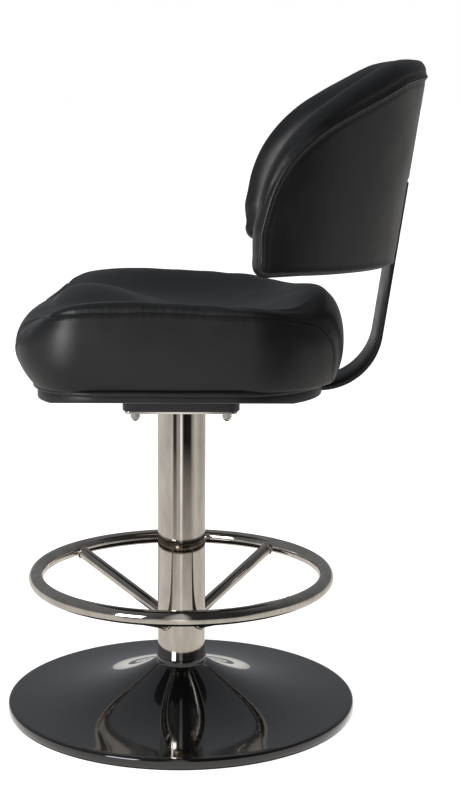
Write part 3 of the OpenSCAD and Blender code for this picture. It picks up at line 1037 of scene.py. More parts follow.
@dataclass
class PlateStack:
    """The square top plate and the pressed tray over it. Millimetres."""

    plate_half: float = 80.0
    plate_z: float = 459.0
    plate_t: float = 3.5
    plate_corner: float = 8.0
    tray_half: float = 83.0
    tray_top: float = 488.0
    tray_corner: float = 16.0
    tray_wall: float = 3.0
    press_r: float = 5.0

    def plate(self, paints: Paintbox) -> None:
        """Builds the plate with its rounded corners and eased edges."""
        h = self.plate_half
        piece = block("top_plate_polished", (-h, -h, self.plate_z), (h, h, self.plate_z + self.plate_t))
        bevel_edges(piece, upright, self.plate_corner, 8)
        bevel_edges(piece, lambda e: not upright(e) and e.calc_face_angle(0) > 1.0, 0.5, 2)
        close_up(piece, 30)
        settle(piece, Body.SEAT, FINISHES[Slot.STAINLESS], paints, ["top_plate"])

    def tray(self, paints: Paintbox) -> None:
        """Presses the tray: round shoulders, and open below."""
        h, low = self.tray_half, self.plate_z + self.plate_t
        piece = block("mount_tray_coated", (-h, -h, low), (h, h, self.tray_top))
        bevel_edges(piece, upright, self.tray_corner, 8)
        edit(piece)
        pick(piece, "FACE", lambda f: f.normal.z < -0.9)
        bpy.ops.mesh.inset(thickness=self.tray_wall * MM, depth=0)
        depth = (self.tray_top - low - self.tray_wall) * MM
        bpy.ops.mesh.extrude_region_move(TRANSFORM_OT_translate={"value": (0, 0, depth)})
        bpy.ops.object.mode_set(mode="OBJECT")
        top = self.tray_top * MM

        def shoulder(edge: bmesh.types.BMEdge) -> bool:
            """Says whether an edge runs round the tray's top."""
            return all(abs(v.co.z - top) < 1e-6 for v in edge.verts) and edge.calc_face_angle(0) > 1.0

        bevel_edges(piece, shoulder, self.press_r, 5)
        foot = low * MM
        bevel_edges(
            piece, lambda e: all(abs(v.co.z - foot) < 1e-6 for v in e.verts) and e.calc_face_angle(0) > 1.0, 0.7, 2
        )
        close_up(piece, 40)
        settle(piece, Body.SEAT, FINISHES[Slot.POWDER], paints, ["mount_tray"])

    def build(self, paints: Paintbox) -> None:
        """Builds the plate and the tray."""
        self.plate(paints)
        self.tray(paints)


@dataclass
class BackBracket:
    """The flat bar that runs back under the seat and bends up behind it. Millimetres."""

    half_width: float = 50.0
    thick: float = 6.0
    low: float = 488.0
    front: float = -70.0
    bend_y: float = 196.5
    bend_r: float = 90.0
    lean: float = 8.3
    top: float = 784.0
    screw_x: float = 32.0
    screw_heights: tuple[float, float] = (708.0, 760.0)
    head_r: float = 6.9

    @property
    def bend_z(self) -> float:
        """Height of the bend's centre."""
        return self.low + self.bend_r

    def at_height(self, z: float) -> Vector:
        """Point on the middle of the bar's rear face at height z."""
        a = math.radians(self.lean)
        along = (z - self.bend_z) / math.cos(a) + self.bend_r * math.tan(a)
        return Vector((
            0,
            self.bend_y + self.bend_r * math.cos(a) + along * math.sin(a),
            self.bend_z - self.bend_r * math.sin(a) + along * math.cos(a),
        ))

    def build(self, paints: Paintbox) -> None:
        """Bends the bar, rounds its edges and countersinks its four screw holes."""
        w = self.half_width
        piece = block("back_bracket_bar", (-w, self.front, self.low), (w, self.bend_y, self.low + self.thick))
        edit(piece)
        pick(piece, "FACE", lambda f: f.normal.y > 0.9)
        centre = (0, self.bend_y * MM, self.bend_z * MM)
        bpy.ops.mesh.spin(steps=40, angle=-math.radians(90 - self.lean), center=centre, axis=(1, 0, 0))
        lean = math.radians(self.lean)
        rise = (self.top - self.bend_z) / math.cos(lean) + self.bend_r * math.tan(lean)
        bpy.ops.mesh.extrude_region_move(
            TRANSFORM_OT_translate={"value": (0, rise * math.sin(lean) * MM, rise * math.cos(lean) * MM)}
        )
        bpy.ops.object.mode_set(mode="OBJECT")
        close_up(piece, None)
        end = self.at_height(self.top).z * MM

        def end_corner(edge: bmesh.types.BMEdge) -> bool:
            """Says whether an edge is one of the bar's upper corners."""
            a, b = (v.co for v in edge.verts)
            near_end = min(a.z, b.z) > end - 0.004
            return near_end and abs(a.x - b.x) < 1e-5 and edge.calc_face_angle(0) > 1.0

        bevel_edges(piece, end_corner, 4.0, 4)
        bevel_edges(piece, lambda e: e.calc_face_angle(0) > 1.0, 0.8, 2)
        self.countersink(piece)
        close_up(piece, 35)
        settle(piece, Body.SEAT, FINISHES[Slot.POWDER], paints, ["back_bracket"])

    def countersink(self, piece: Piece) -> None:
        """Cuts the four cone-shaped seats that the screw heads lie in."""
        inward = Vector((0, -math.cos(math.radians(self.lean)), math.sin(math.radians(self.lean))))
        turn = (-inward).to_track_quat("Z", "Y").to_euler()
        cutters = []
        for z in self.screw_heights:
            for side in (-1, 1):
                face = self.at_height(z)
                face.x = side * self.screw_x
                clear_selection()
                bpy.ops.mesh.primitive_cone_add(
                    vertices=32, radius1=0.0028, radius2=(self.head_r + 1.0) * MM, depth=0.0052,
                    location=(face + inward * 1.6) * MM, rotation=turn,
                )
                cutters.append(named("countersink_cutter"))
        cutter = joined(cutters)
        close_up(cutter, None)
        take_up(piece)
        cut = piece.modifiers.new("countersinks", "BOOLEAN")
        cut.operation, cut.object, cut.solver = "DIFFERENCE", cutter, "EXACT"
        bpy.ops.object.modifier_apply(modifier=cut.name)
        bpy.data.objects.remove(cutter)


@dataclass
class SeatPan:
    """The moulded plastic pan under the cushion, with its rounded lip. Millimetres."""

    half_width: float = 215.0
    front: float = -197.0
    rear: float = 197.0
    low: float = 494.0
    top: float = 511.0
    front_corner: float = 90.0
    rear_corner: float = 128.0
    flat_x: float = 182.0
    side_z: float = 501.0
    lip: float = 6.0
    lip_low: float = 509.0
    lip_top: float = 516.0

    def round_corners(self, piece: Piece, more: float) -> None:
        """Rounds the four upright corners, the rear ones more than the front ones.

        Args:
            piece: the block.
            more: what the radii are larger by.
        """
        bevel_edges(piece, lambda e: upright(e) and e.verts[0].co.y < 0, self.front_corner + more, 20)
        bevel_edges(piece, lambda e: upright(e) and e.verts[0].co.y > 0, self.rear_corner + more, 24)

    def build(self, paints: Paintbox) -> None:
        """Moulds the body, lifts its floor towards the sides and runs the lip round it."""
        w = self.half_width
        body = block("seat_pan_body", (-w, self.front, self.low), (w, self.rear, self.top))
        self.round_corners(body, 0)
        edit(body)
        for side in (-1, 1):
            bpy.ops.mesh.select_all(action="SELECT")
            bpy.ops.mesh.bisect(plane_co=(side * self.flat_x * MM, 0, 0), plane_no=(1, 0, 0))
        bpy.ops.object.mode_set(mode="OBJECT")
        points = points_of(body)
        beyond = np.clip((np.abs(points[:, 0]) / MM - self.flat_x) / (w - self.flat_x), 0, 1)
        floor = points[:, 2] < (self.low + 1) * MM
        points[floor, 2] += beyond[floor] * (self.side_z - self.low) * MM
        move_points(body, points)
        bevel_edges(body, lambda e: e.calc_face_angle(0) > 0.7 and max(v.co.z for v in e.verts) < 0.503, 3.0, 4)
        # A fine step runs round the body under the lip
        edit(body)
        bpy.ops.mesh.select_all(action="SELECT")
        bpy.ops.mesh.bisect(plane_co=(0, 0, (self.lip_low - 3.5) * MM), plane_no=(0, 0, 1))
        bpy.ops.object.mode_set(mode="OBJECT")
        points = points_of(body)
        upper = points[:, 2] > (self.lip_low - 3.4) * MM
        points[upper, :2] *= 1 - 1.6 / w
        move_points(body, points)
        edge = self.lip
        low, high = (-w - edge, self.front - edge, self.lip_low), (w + edge, self.rear + edge, self.lip_top)
        lip = block("seat_pan_lip", low, high)
        self.round_corners(lip, edge)
        bevel_edges(lip, lambda e: not upright(e) and e.calc_face_angle(0) > 1.0, 3.3, 5)
        piece = joined([body, lip])
        piece.name = "seat_pan_moulded"
        close_up(piece, 35)
        settle(piece, Body.SEAT, FINISHES[Slot.PLASTIC], paints, ["seat_pan"])


# ---------------------------------------------------------------- the padded seat


@dataclass
class View:
    """Where the stool is seen from. Its own axes are the CAD frame's, turned a little. Millimetres and radians."""

    distance: float = 2500.0
    height: float = 941.3
    pitch: float = 0.1845
    yaw: float = 0.0281
    roll: float = 0.0063
    turn: float = math.radians(0.6)
    focal: float = 1749.4
    frame_h: int = 786

    def spin(self) -> Matrix:
        """Returns the turn from the view's own axes to the CAD frame."""
        return Matrix.Rotation(self.turn, 3, "Z")

    def eye(self) -> Vector:
        """Returns the eye's place in metres."""
        return self.spin() @ Vector((self.distance, 0, self.height)) * MM

    def facing(self) -> Matrix:
        """Returns the camera's rotation: its right, its up and its back are the columns."""
        level = math.cos(self.pitch)
        ahead = Vector((-level * math.cos(self.yaw), level * math.sin(self.yaw), -math.sin(self.pitch)))
        right = ahead.cross(Vector((0, 0, 1))).normalized()
        up = right.cross(ahead)
        c, s = math.cos(self.roll), math.sin(self.roll)
        columns = Matrix((right * c + up * s, up * c - right * s, -ahead)).transposed()
        return self.spin() @ columns

    def onto(self, tree: BVHTree, point_mm: Sequence[float]) -> Vector | None:
        """Carries a point along the line of sight onto a surface.

        Args:
            tree: the surface.
            point_mm: a point on the line of sight, in the view's own axes.

        Returns:
            The first point hit, or None.
        """
        target = self.spin() @ Vector(point_mm) * MM
        eye = self.eye()
        hit = tree.ray_cast(eye, (target - eye).normalized())
        return hit[0]


@dataclass
class SeatCushion:
    """The contoured cushion: raised sides, a low horn in front and a dished rear. Millimetres."""

    half_width: float = 222.0
    front: float = -236.0
    rear: float = 232.0
    front_bow: float = 8.7
    rear_bow: float = 6.6
    front_corner: float = 95.0
    rear_corner: float = 127.0
    low: float = 514.4
    across: int = 68
    up: int = 76
    over_rings: int = 14
    sewn_ring: int = 5
    down_rings: int = 10
    # Heights of the top: Y, then X and Z of points from the middle to the side
    heights: tuple = (
        (-235, ((0, 593), (60, 593), (120, 592), (175, 591), (225, 598))),
        (-213, ((0, 598), (60, 597), (120, 595), (175, 596), (225, 602))),
        (-189, ((0, 609), (50, 606), (100, 603), (150, 606), (195, 612), (225, 614))),
        (-163, ((0, 626), (50, 618), (100, 610), (150, 616), (195, 624), (225, 626))),
        (-133, ((0, 632), (50, 623), (100, 611), (150, 621), (198, 630), (225, 631))),
        (-93, ((0, 626), (50, 617), (100, 608), (150, 620), (198, 633), (225, 634))),
        (-53, ((0, 613), (50, 608), (100, 602), (150, 616), (198, 633), (225, 634))),
        (-4, ((0, 599), (50, 597), (100, 598), (150, 612), (198, 631), (225, 632))),
        (46, ((0, 592), (50, 592), (100, 597), (150, 611), (198, 629), (225, 631))),
        (96, ((0, 596), (50, 596), (100, 601), (150, 612), (198, 626), (225, 628))),
        (146, ((0, 610), (50, 610), (100, 612), (150, 617), (195, 621), (225, 621))),
        (186, ((0, 626), (50, 626), (100, 624), (150, 620), (190, 613), (215, 610))),
        (211, ((0, 631), (50, 630), (100, 627), (150, 619), (190, 605))),
        (233, ((0, 631), (50, 630), (100, 625), (150, 614))),
    )
    seam_line: tuple = (
        (-205, 515), (-212, 536), (-217.3, 558), (-217.4, 578), (-213.6, 598), (-207.6, 605.3), (-199.7, 609.3),
        (-179.8, 615.4), (-163.9, 617.5), (-148, 619.6), (-108, 620.8), (-27.5, 621.4), (24.3, 618.7),
        (93, 616.2), (153.8, 610.6), (176.7, 605.8), (189.7, 596.9), (197.7, 586), (201.8, 572), (201.9, 552),
        (199, 525), (197, 516),
    )
    seam_x: float = 212.0
    weights: np.ndarray = field(default=None, repr=False)
    knots: np.ndarray = field(default=None, repr=False)

    def fit_top(self) -> None:
        """Fits a thin smooth plate through the heights, alike on both sides."""
        rows = []
        for y, run in self.heights:
            for x, z in run:
                rows.append((x, y, z))
                if x:
                    rows.append((-x, y, z))
        data = np.array(rows, float)
        self.knots = data[:, :2] / 100
        n = len(data)
        system = np.zeros((n + 3, n + 3))
        system[:n, :n] = self.kernel(self.knots) + np.eye(n) * 0.02
        system[:n, n:] = np.hstack([np.ones((n, 1)), self.knots])
        system[n:, :n] = system[:n, n:].T
        self.weights = np.linalg.solve(system, np.concatenate([data[:, 2], [0, 0, 0]]))

    def kernel(self, at: np.ndarray) -> np.ndarray:
        """Thin-plate kernel between points and the knots."""
        r = np.linalg.norm(at[:, None] - self.knots[None], axis=2)
        return np.where(r > 1e-9, r**2 * np.log(np.maximum(r, 1e-9)), 0.0)

    def top(self, xy: np.ndarray) -> np.ndarray:
        """Height of the top at points in millimetres."""
        at = xy / 100
        n = len(self.knots)
        return self.kernel(at) @ self.weights[:n] + self.weights[n] + at @ self.weights[n + 1 :]

    def outline(self, topology: PadTopology) -> np.ndarray:
        """Plan outline, sampled in the order of a grid's border."""

        def arc(cx: float, cy: float, r: float, a0: float, a1: float) -> list[tuple[float, float]]:
            """Points of an arc between two angles in degrees."""
            return [
                (cx + r * math.cos(math.radians(a)), cy + r * math.sin(math.radians(a)))
                for a in np.linspace(a0, a1, 40)
            ]

        def meeting(bow: float, level: float, r: float) -> tuple[float, float]:
            """Angle and distance from the middle at which a bowed side runs into its round corner."""
            x, angle = level, math.pi / 2
            for _ in range(12):
                angle = math.atan2(1, 2 * bow * x / level**2)
                x = level + r * math.cos(angle)
            return angle, x

        w, fc, rc = self.half_width, self.front_corner, self.rear_corner
        fa, fx = meeting(self.front_bow, w - fc, fc)
        ra, rx = meeting(self.rear_bow, w - rc, rc)
        front = [(x, self.front + self.front_bow * (x / (w - fc)) ** 2) for x in np.linspace(0, fx, 20)]
        rear = [(x, self.rear - self.rear_bow * (x / (w - rc)) ** 2) for x in np.linspace(rx, 0, 20)]
        fy, ry = front[-1][1] + fc * math.sin(fa), rear[0][1] - rc * math.sin(ra)
        front += arc(w - fc, fy, fc, -math.degrees(fa), -45)[1:]
        side = arc(w - fc, fy, fc, -45, 0) + arc(w - rc, ry, rc, 0, 45)
        rear = arc(w - rc, ry, rc, 45, math.degrees(ra))[:-1] + rear
        flip = np.array([-1.0, 1.0])
        front, side, rear = np.array(front), np.array(side), np.array(rear)
        n, m = topology.across, topology.up
        parts = [
            even_steps(np.vstack([front[::-1] * flip, front[1:]]), n + 1)[:-1],
            even_steps(side, m + 1)[:-1],
            even_steps(np.vstack([rear, rear[::-1][1:] * flip]), n + 1)[:-1],
            even_steps(side[::-1] * flip, m + 1)[:-1],
        ]
        return np.vstack(parts)

    def shape(self) -> tuple[Piece, np.ndarray]:
        """Makes the closed cover and says where it is sewn or stapled down.

        Returns:
            The piece, and one number for each point: 1 held, 0 free.
        """
        self.fit_top()
        topology = PadTopology(self.across, self.up)
        edge = self.outline(topology)
        out = loop_normals(edge)
        fwd, back, side = np.clip(-out[:, 1], 0, 1) ** 2, np.clip(out[:, 1], 0, 1) ** 2, out[:, 0] ** 2
        roll = 24 * side + 42 * fwd + 46 * back
        belly = 560 * side + 565 * fwd + 560 * back
        tuck = 7 * side + 24.6 * fwd + 10 * back
        curl = 2.4 * side + 1.8 * fwd + 2.2 * back
        drop = self.top(edge) - belly
        over, down = self.over_rings, self.down_rings

        def ring(xy: np.ndarray, z: np.ndarray) -> np.ndarray:
            """Points in metres."""
            return np.hstack([xy, z[:, None]]) * MM

        border = edge - out * roll[:, None]
        face_xy = topology.fill(border)
        face = np.hstack([face_xy, self.top(face_xy)[:, None]]) * MM
        rings, held = [], [np.zeros(len(face))]
        for k in range(1, over + 1):
            a = math.radians(90 * k / over)
            inset = roll * (1 - math.sin(a) ** EDGE_POWER)
            xy = edge - out * inset[:, None]
            rings.append(ring(xy, self.top(xy) - drop * (1 - max(math.cos(a), 0) ** EDGE_POWER)))
            held.append(np.where(side > 0.5, 1.0, 0.3) if k == self.sewn_ring else np.zeros(len(edge)))
        for k in range(1, down + 1):
            s = k / down
            xy = edge - out * (tuck * s**curl)[:, None]
            rings.append(ring(xy, belly - (belly - self.low) * s))
            held.append(np.full(len(edge), 1.0 if k > down - 2 else 0.0))
        base_xy = topology.fill(edge - out * (tuck + 3)[:, None])
        under = np.hstack([base_xy, np.full((len(base_xy), 1), self.low)]) * MM
        held.append(np.ones(len(under)))
        piece = topology.assemble("seat_cushion", face, rings, under)
        return piece, np.concatenate(held)

    def build(self, paints: Paintbox, view: View) -> None:
        """Makes the cushion, sews its side seams and lays their stitches.

        Args:
            paints: the built materials.
            view: the line of sight along which the seam was drawn.
        """
        piece, held = self.shape()
        plump(piece, held, pressure=3.0, cap_mm=2.5)
        subdivide(piece, 1)
        tree = BVHTree.FromObject(piece, bpy.context.evaluated_depsgraph_get())
        drawn = flowing([(self.seam_x, y, z) for y, z in self.seam_line], 8)
        path = np.array([list(p) for p in (view.onto(tree, q) for q in drawn) if p is not None])
        near = Seam.laid(path, piece)
        seams = [near, near.mirrored()]
        sew_down(piece, seams, depth_mm=1.7, width_mm=2.6, pucker_mm=0.28, pucker_at_mm=5.0)
        settle(
            piece, Body.SEAT, FINISHES[Slot.VINYL], paints,
            ["seat_foam", "seat_top_cover", "seat_side_cover_left", "seat_side_cover_right"],
        )
        centre = np.array([0.0, 0.0, 0.55])
        for name, line in zip(("left", "right"), seams):
            line = Seam.laid(line.points, piece)
            # The dark cord along the seam is painted shade, not a part of the cover
            cord = seam_shade_cord(f"seat_seam_shade_{name}", line, 0.75, -0.15)
            settle(cord, Body.SEAT, SEAM_SHADE, paints)
            middle = centre + np.array([0.2 if name == "left" else -0.2, 0, 0])
            inner = line.beside(4.6, piece, middle)
            row = stitches(f"seat_stitches_{name}", inner)
            settle(row, Body.SEAT, THREAD, paints)


# ---------------------------------------------------------------- the padded back


@dataclass
class BackRest:
    """The bucket back: a padded shell on a leaning cylinder, rolled round its edge. Millimetres."""

    axis_y: float = 43.9
    axis_z: float = 578.0
    lean: float = 8.3
    outer_r: float = 244.5
    middle_r: float = 222.0
    inner_r: float = 198.0
    scale_r: float = 235.0
    across: int = 96
    up: int = 40
    edge_rings: int = 10
    # Angle from the rear in degrees, height along the axis and width of the roll outside, up the edge and over
    edge: tuple = (
        (81.2, 123.6, 7.5), (82.0, 139.6, 9), (82.9, 157.8, 10), (82.6, 183.2, 11), (82.1, 215.5, 14),
        (79.8, 250.6, 16.5), (75.6, 282.9, 18.5), (68.8, 316.6, 21), (59.0, 348.8, 24), (47.1, 377.8, 26),
        (39.4, 393.4, 26), (32.9, 403.0, 25), (21.4, 410.0, 23.5), (0.0, 413.2, 22),
    )
    corner_r: float = 16.0
    turn_h: float = 350.0
    hem: float = 10.0
    # The far wing's sewn edge sits a little lower, and its foot, below far_foot, a little higher
    far_sag: float = 4.0
    far_lift: float = 11.0
    far_foot: float = 175.0
    inner_roll: float = 34.0
    bar_half: float = 51.5
    bar_top_h: float = 244.2
    bar_floor: float = 235.2

    def space(self, a: np.ndarray, h: np.ndarray, r: np.ndarray) -> np.ndarray:
        """Turns places on the cylinder to points in metres.

        Args:
            a: distance round from the rear, measured at scale_r.
            h: height along the axis.
            r: distance from the axis.

        Returns:
            N by 3 array.
        """
        t = math.radians(self.lean)
        angle = a / self.scale_r
        rear = r * np.cos(angle)
        x = r * np.sin(angle)
        y = self.axis_y + h * math.sin(t) + rear * math.cos(t)
        z = self.axis_z + h * math.cos(t) - rear * math.sin(t)
        return np.stack([x, y, z], 1) * MM

    def bottom(self, a: np.ndarray) -> np.ndarray:
        """Height along the axis of the level lower edge."""
        t = math.radians(self.lean)
        c = np.cos(a / self.scale_r)
        return (666 + 4 * (1 - c) - self.axis_z + self.scale_r * c * math.sin(t)) / math.cos(t)

    def outline(self, topology: PadTopology) -> np.ndarray:
        """Edge of the back on the unrolled cylinder, in the order of a grid's border, with the roll's width."""
        per_degree = self.scale_r * math.pi / 180
        climb = flowing([(p * per_degree, h, w) for p, h, w in self.edge], 14)
        tip = self.edge[0][0] * per_degree
        c = self.corner_r
        level = float(self.bottom(np.array([tip - c]))[0])
        corner = [
            (tip - c + c * math.cos(q), level + c + c * math.sin(q), 8.0) for q in np.linspace(-math.pi / 2, 0, 14)
        ]
        floor_a = np.linspace(0, tip - c, 60)[:-1]
        floor = np.stack([floor_a, self.bottom(floor_a), np.full(len(floor_a), self.hem)], 1)
        corner = np.array(corner)
        half = len(corner) // 2
        # The grid's upper corners lie where the arch turns over
        turn = int(np.argmin(np.abs(climb[:, 1] - self.turn_h)))
        low = np.vstack([floor, corner[: half + 1]])
        side = np.vstack([corner[half:], climb[1 : turn + 1]])
        top = climb[turn:]
        flip = np.array([-1.0, 1.0, 1.0])
        n, m = topology.across, topology.up
        parts = [
            even_steps(np.vstack([low[::-1] * flip, low[1:]]), n + 1)[:-1],
            even_steps(side, m + 1)[:-1],
            even_steps(np.vstack([top, top[::-1][1:] * flip]), n + 1)[:-1],
            even_steps(side[::-1] * flip, m + 1)[:-1],
        ]
        loop = np.vstack(parts)
        bearing, height = -loop[:, 0] / per_degree, loop[:, 1]
        sag = self.far_sag * np.exp(-(((bearing - 45) / 30) ** 2)) * np.clip(bearing / 25, 0, 1)
        lift = self.far_lift * np.clip((bearing - 60) / 22, 0, 1) * np.clip((self.far_foot - height) / 60, 0, 1)
        loop[:, 1] += lift - sag * (height > self.far_foot)
        for _ in range(6):
            loop[:, 2] = (np.roll(loop[:, 2], 1) + 2 * loop[:, 2] + np.roll(loop[:, 2], -1)) / 4
        return loop

    def shape(self) -> tuple[Piece, np.ndarray, np.ndarray]:
        """Makes the closed cover.

        Returns:
            The piece, one number for each point (1 held, 0 free), and the seam's points in metres.
        """
        topology = PadTopology(self.across, self.up)
        loop = self.outline(topology)
        edge, roll = loop[:, :2], loop[:, 2]
        out = loop_normals(edge)
        count = self.edge_rings
        border = edge - out * roll[:, None]
        face_ah = topology.fill(border)
        face = self.space(face_ah[:, 0], face_ah[:, 1], np.full(len(face_ah), self.outer_r))
        rings, held = [], [np.ones(len(face))]
        for k in range(1, count + 1):
            q = math.radians(90 * k / count)
            ah = edge - out * (roll * (1 - math.sin(q) ** EDGE_POWER))[:, None]
            r = self.middle_r + (self.outer_r - self.middle_r) * max(math.cos(q), 0) ** EDGE_POWER
            rings.append(self.space(ah[:, 0], ah[:, 1], np.full(len(ah), r)))
            held.append(np.full(len(ah), 0.8 if k == 1 else 0.0))
        for k in range(count - 1, 0, -1):
            q = math.radians(90 * k / count)
            ah = edge - out * self.inner_roll * (1 - math.sin(q) ** EDGE_POWER)
            r = self.middle_r - (self.middle_r - self.inner_r) * math.cos(q) ** EDGE_POWER
            rings.append(self.space(ah[:, 0], ah[:, 1], np.full(len(ah), r)))
            held.append(np.zeros(len(ah)))
        inner_border = edge - out * self.inner_roll
        inner_ah = topology.fill(inner_border)
        inner = self.space(inner_ah[:, 0], inner_ah[:, 1], np.full(len(inner_ah), self.inner_r))
        held.append(np.zeros(len(inner)))
        piece = topology.assemble("back_pad", face, rings, inner)
        seam = face[topology.border()]
        return piece, np.concatenate(held), seam

    def let_in_bar(self, piece: Piece) -> None:
        """Presses the groove in the rear cover that the flat bar lies in."""
        t = math.radians(self.lean)
        points = points_of(piece) / MM
        y, z = points[:, 1] - self.axis_y, points[:, 2] - self.axis_z
        rear = y * math.cos(t) - z * math.sin(t)
        height = y * math.sin(t) + z * math.cos(t)
        inside = np.clip((self.bar_half + 3.0 - np.abs(points[:, 0])) / 3.0, 0, 1)
        inside *= np.clip((self.bar_top_h + 2.0 - height) / 2.0, 0, 1)
        sink = np.clip(rear - self.bar_floor, 0, None) * inside
        points[:, 1] -= sink * math.cos(t)
        points[:, 2] += sink * math.sin(t)
        move_points(piece, points * MM)

    def build(self, paints: Paintbox) -> None:
        """Makes the back, sews its panel in and lays the stitches."""
        topology = PadTopology(self.across, self.up)
        piece, held, border = self.shape()
        plump(piece, held, pressure=3.0, cap_mm=3.0)
        subdivide(piece, 1)
        n, m = topology.across, topology.up
        # The seam runs from the lower corner of one wing over the top to the other; the hem closes it below
        over = border[n + 1 : 2 * n + 2 * m]
        hem = border[: n + 1]
        arch = Seam.laid(over, piece)
        foot = Seam.laid(hem, piece)
        sew_down(piece, [arch], depth_mm=1.9, width_mm=2.6, pucker_mm=0.3, pucker_at_mm=4.6)
        sew_down(piece, [foot], depth_mm=0.7, width_mm=2.4, pucker_mm=0.22, pucker_at_mm=4.0)
        self.let_in_bar(piece)
        settle(piece, Body.SEAT, FINISHES[Slot.VINYL], paints, ["back_foam", "back_front_cover", "back_rear_cover"])
        arch = Seam.laid(arch.points, piece)
        # The dark cord along the seam is painted shade, not a part of the cover
        cord = seam_shade_cord("back_seam_shade", arch, 0.8, -0.15)
        settle(cord, Body.SEAT, SEAM_SHADE, paints)
        middle = np.array([0.0, 0.2, 0.78])
        row = stitches("back_stitches", arch.beside(4.6, piece, middle))
        settle(row, Body.SEAT, THREAD, paints)
        half = len(hem) // 2
        reach = int(half * 0.235)
        for name, part in (("left", hem[half + reach :]), ("right", hem[: half - reach])):
            foot = Seam.laid(part, piece)
            row = stitches(f"back_hem_stitches_{name}", foot)
            settle(row, Body.SEAT, THREAD, paints)


# ---------------------------------------------------------------- kept CAD nodes


@dataclass
class KeptNodes:
    """CAD nodes whose shape is right: small fixings and what lies inside. They only get better finishes."""

    finishes: dict[str, Slot] = field(
        default_factory=lambda: {
            "base_weight": Slot.IRON, "base_foot_ring": Slot.RUBBER, "column_foot_plug": Slot.ZINC,
            "column_bolt": Slot.ZINC, "column_washer": Slot.ZINC, "upper_bush": Slot.BRONZE,
            "lower_bush": Slot.BRONZE, "thrust_washer": Slot.ACETAL, "spindle": Slot.ZINC,
            "spindle_circlip": Slot.OXIDE, "plate_bolts": Slot.ZINC, "plate_washers": Slot.ZINC,
            "plate_dome_nuts": Slot.ZINC, "bracket_seat_bolts": Slot.ZINC, "seat_tee_nuts": Slot.ZINC,
            "pan_screws": Slot.OXIDE, "seat_board": Slot.PLYWOOD, "back_shell": Slot.PLYWOOD,
            "back_screws": Slot.OXIDE, "back_tee_nuts": Slot.ZINC,
        }
    )

    def build(self, nodes: dict[str, Piece], paints: Paintbox) -> None:
        """Dresses every kept node.

        Args:
            nodes: the frame's nodes by name.
            paints: the built materials.
        """
        for name, slot in self.finishes.items():
            paints.dress_node(nodes[name], FINISHES[slot])
            log.info("%s: kept, %s", name, FINISHES[slot].name)


# ---------------------------------------------------------------- the studio


